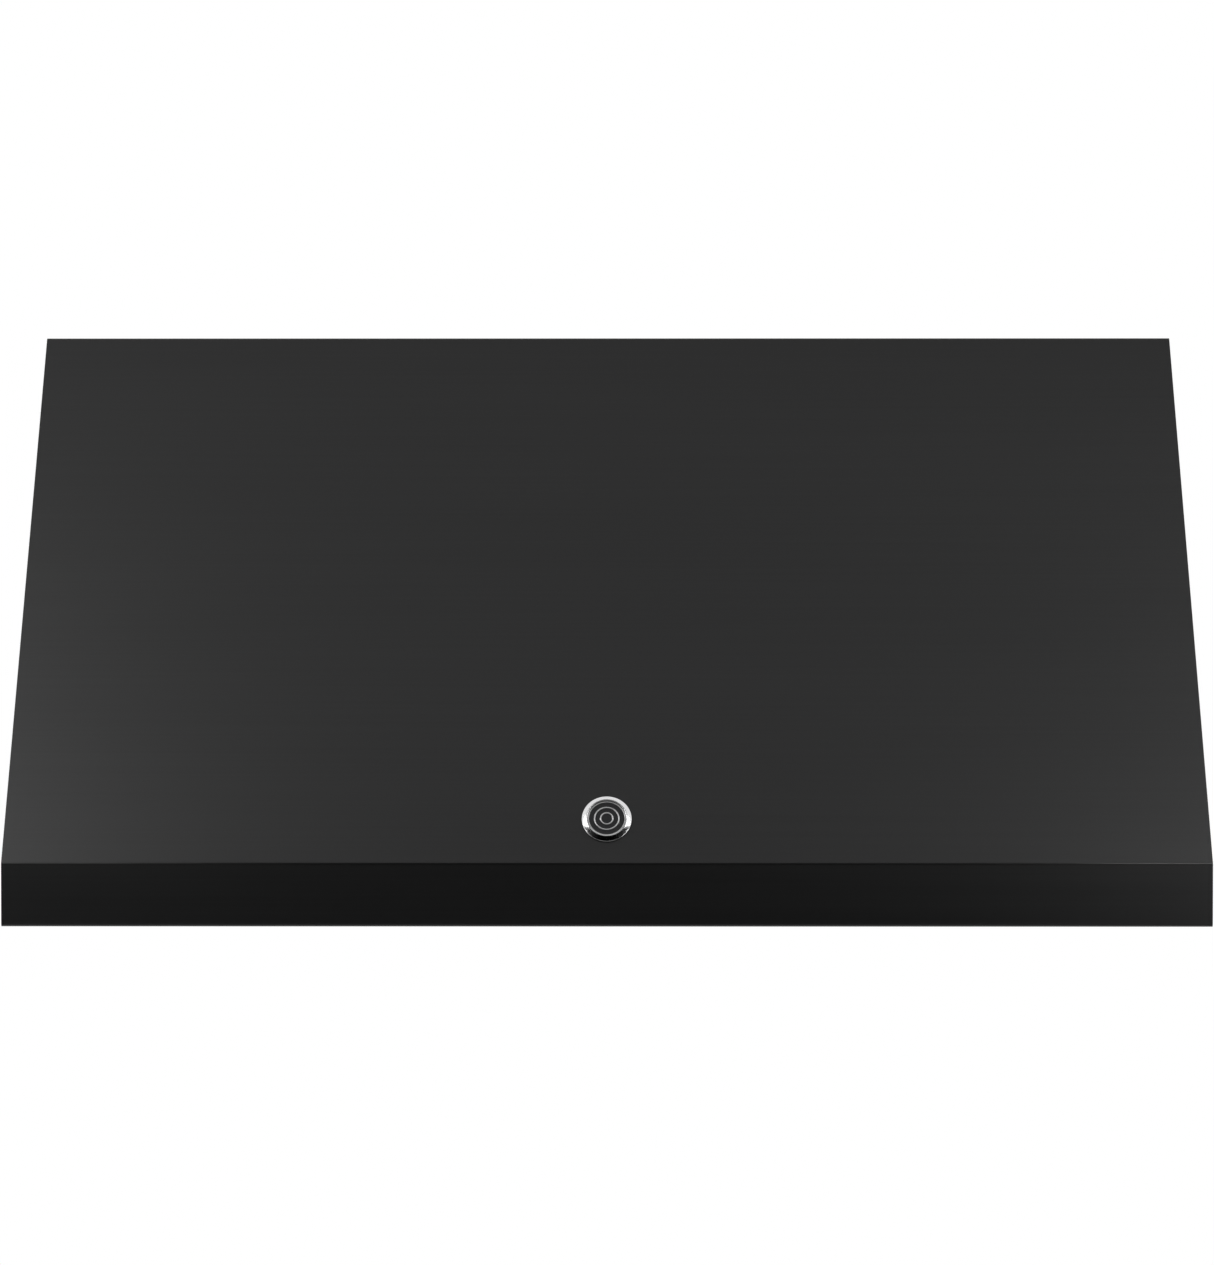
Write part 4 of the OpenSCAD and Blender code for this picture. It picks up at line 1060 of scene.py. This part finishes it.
class HOOD_OT_wiring(HoodOperator, bpy.types.Operator):
    """Junction box and the wires"""

    bl_idname = "hood.wiring"
    bl_label = "Wiring"

    def execute(self, context):
        edge = sizes().sheet_edge
        refined("junction_box", galvanised(), edge / 2)
        refined("junction_cover", galvanised(), edge / 2)
        refined("wiring", rubber(), angle=60.0)
        low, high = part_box("junction_cover")
        depth = (low.y + high.y) / 2
        inset = (high.x - low.x) * 0.12
        heads = [
            moved(screw_head(sizes().screw), facing((x, depth, low.z), (0.0, 0.0, -1.0)))
            for x in (low.x + inset, high.x - inset)
        ]
        piece("junction_screws", joined(heads), "hood", plated())
        return {"FINISHED"}


class HOOD_OT_stage(HoodOperator, bpy.types.Operator):
    """Pale floor, soft lights and the camera"""

    bl_idname = "hood.stage"
    bl_label = "Stage"

    def execute(self, context):
        self.world()
        self.floor()
        self.lights()
        self.camera()
        context.scene.view_settings.view_transform = "Standard"
        return {"FINISHED"}

    def world(self):
        """White to the camera and in mirrors, and a studio that is dim in front and bright behind."""
        world = bpy.data.worlds.new("studio")
        bpy.context.scene.world = world
        world.use_nodes = True
        graph = Graph(world.node_tree)
        stage = bpy.context.scene.hood_stage
        heading = graph.node("ShaderNodeTexCoord", output="Generated")
        across = graph.axis(heading, "X")
        along = graph.axis(heading, "Y")
        left = graph.ramp(0.0 - across, 0.3, 0.9) * stage.left
        right = graph.ramp(across, 0.3, 0.9) * stage.right
        behind = graph.ramp(along, 0.0, 0.4) * stage.behind
        aside = graph.math("ABSOLUTE", across) * 0.7
        shown = graph.shown(graph.ramp(along + aside, -0.05, 0.3))
        fill = graph.node("ShaderNodeBackground", None, {"Color": PLAIN, "Strength": left + right + behind})
        white = graph.node("ShaderNodeBackground", None, {"Color": PLAIN, "Strength": 1.0})
        mixed = graph.node("ShaderNodeMixShader", None, {0: shown, 1: fill, 2: white})
        graph.node("ShaderNodeOutputWorld", None, {"Surface": mixed})

    def floor(self):
        """Pale floor that catches the hood's shadow, and is white where the camera or a mirror sees it."""
        graph = Finish("floor")
        grain = graph.noise(graph.place, scale=40.0, detail=3.0)
        shader = graph.node(
            "ShaderNodeBsdfPrincipled",
            None,
            {"Base Color": graph.tint((0.79, 0.79, 0.79), (0.81, 0.81, 0.81), grain), "Roughness": 0.8},
        )
        shown = graph.shown(graph.ramp(graph.axis(graph.place, "Y"), -2.5, -0.6))
        glow = graph.node("ShaderNodeEmission", None, {"Color": PLAIN, "Strength": 1.0})
        lit = graph.node("ShaderNodeMixShader", None, {0: shown, 1: shader, 2: glow})
        graph.node("ShaderNodeOutputMaterial", None, {"Surface": lit})
        mesh = bmesh.new()
        bmesh.ops.create_grid(mesh, x_segments=8, y_segments=8, size=9.0)
        moved(mesh, Matrix.Translation((0.0, 0.0, -bpy.context.scene.hood_stage.floor_drop)))
        data = bpy.data.meshes.new("floor")
        mesh.to_mesh(data)
        mesh.free()
        data.materials.append(graph.material)
        ground = bpy.data.objects.new("floor", data)
        bpy.context.scene.collection.objects.link(ground)

    def lamp(self, name, place, aim, width, height, power):
        """Oblong lamp that the camera doesn't see."""
        light = bpy.data.lights.new(name, "AREA")
        light.shape = "RECTANGLE"
        light.size = width
        light.size_y = height
        light.energy = power
        holder = bpy.data.objects.new(name, light)
        holder.location = place
        holder.rotation_euler = (Vector(aim) - Vector(place)).to_track_quat("-Z", "Y").to_euler()
        holder.visible_camera = False
        bpy.context.scene.collection.objects.link(holder)

    def lights(self):
        stage = bpy.context.scene.hood_stage
        self.lamp("top_softbox", (0.0, -1.2, 2.6), (0.0, 0.0, 0.2), 2.4, 1.2, stage.top_power)
        self.lamp("key_softbox", (0.0, -3.2, 3.2), (0.0, -0.2, 0.1), 2.0, 1.0, stage.key_power)
        self.lamp("left_softbox", (-1.25, -1.15, 1.2), (-0.45, -0.25, 0.1), 0.7, 0.7, stage.left_power)
        self.lamp("right_softbox", (1.25, -1.15, 1.2), (0.45, -0.25, 0.1), 0.7, 0.7, stage.right_power)
        self.lamp("left_strip", (-0.8, -0.95, 0.0), (-0.4, -0.3, 0.02), 0.2, 0.3, stage.left_strip)
        self.lamp("right_strip", (0.8, -0.95, 0.0), (0.4, -0.3, 0.02), 0.2, 0.3, stage.right_strip)
        self.lamp("left_glint", (-0.47, -0.573, 0.175), (-0.42, -0.305, 0.05), 0.2, 0.06, stage.left_glint)
        self.lamp("right_glint", (0.49, -0.573, 0.175), (0.44, -0.305, 0.05), 0.16, 0.06, stage.right_glint)

    def camera(self):
        stage = bpy.context.scene.hood_stage
        lens = bpy.data.cameras.new("camera")
        lens.lens = stage.focal
        lens.sensor_width = 36.0
        lens.clip_end = 50.0
        holder = bpy.data.objects.new("camera", lens)
        holder.location = stage.camera_place
        holder.rotation_euler = stage.camera_turn
        bpy.context.scene.collection.objects.link(holder)
        bpy.context.scene.camera = holder


OPERATORS = (
    HOOD_OT_stage,
    HOOD_OT_casing,
    HOOD_OT_badge,
    HOOD_OT_liner,
    HOOD_OT_filters,
    HOOD_OT_lights,
    HOOD_OT_controls,
    HOOD_OT_blower,
    HOOD_OT_duct,
    HOOD_OT_wiring,
)


class HOOD_PT_panel(bpy.types.Panel):
    """Lists the hood's operators with its sizes and colours"""

    bl_idname = "HOOD_PT_panel"
    bl_label = "Range Hood"
    bl_space_type = "VIEW_3D"
    bl_region_type = "UI"
    bl_category = "Range Hood"

    def draw(self, context):
        for operator in OPERATORS:
            self.layout.operator(operator.bl_idname)
        for group in (context.scene.hood_sizes, context.scene.hood_colours, context.scene.hood_stage):
            box = self.layout.box()
            for name in group.__annotations__:
                box.prop(group, name)


CLASSES = (HoodSizes, HoodColours, HoodStage, *OPERATORS, HOOD_PT_panel)


def register():
    for made in CLASSES:
        bpy.utils.register_class(made)
    bpy.types.Scene.hood_sizes = PointerProperty(type=HoodSizes)
    bpy.types.Scene.hood_colours = PointerProperty(type=HoodColours)
    bpy.types.Scene.hood_stage = PointerProperty(type=HoodStage)


def unregister():
    del bpy.types.Scene.hood_stage
    del bpy.types.Scene.hood_colours
    del bpy.types.Scene.hood_sizes
    for made in reversed(CLASSES):
        bpy.utils.unregister_class(made)


def main():
    register()
    for operator in OPERATORS:
        group, name = operator.bl_idname.split(".")
        getattr(getattr(bpy.ops, group), name)()


if __name__ == "__main__":
    main()
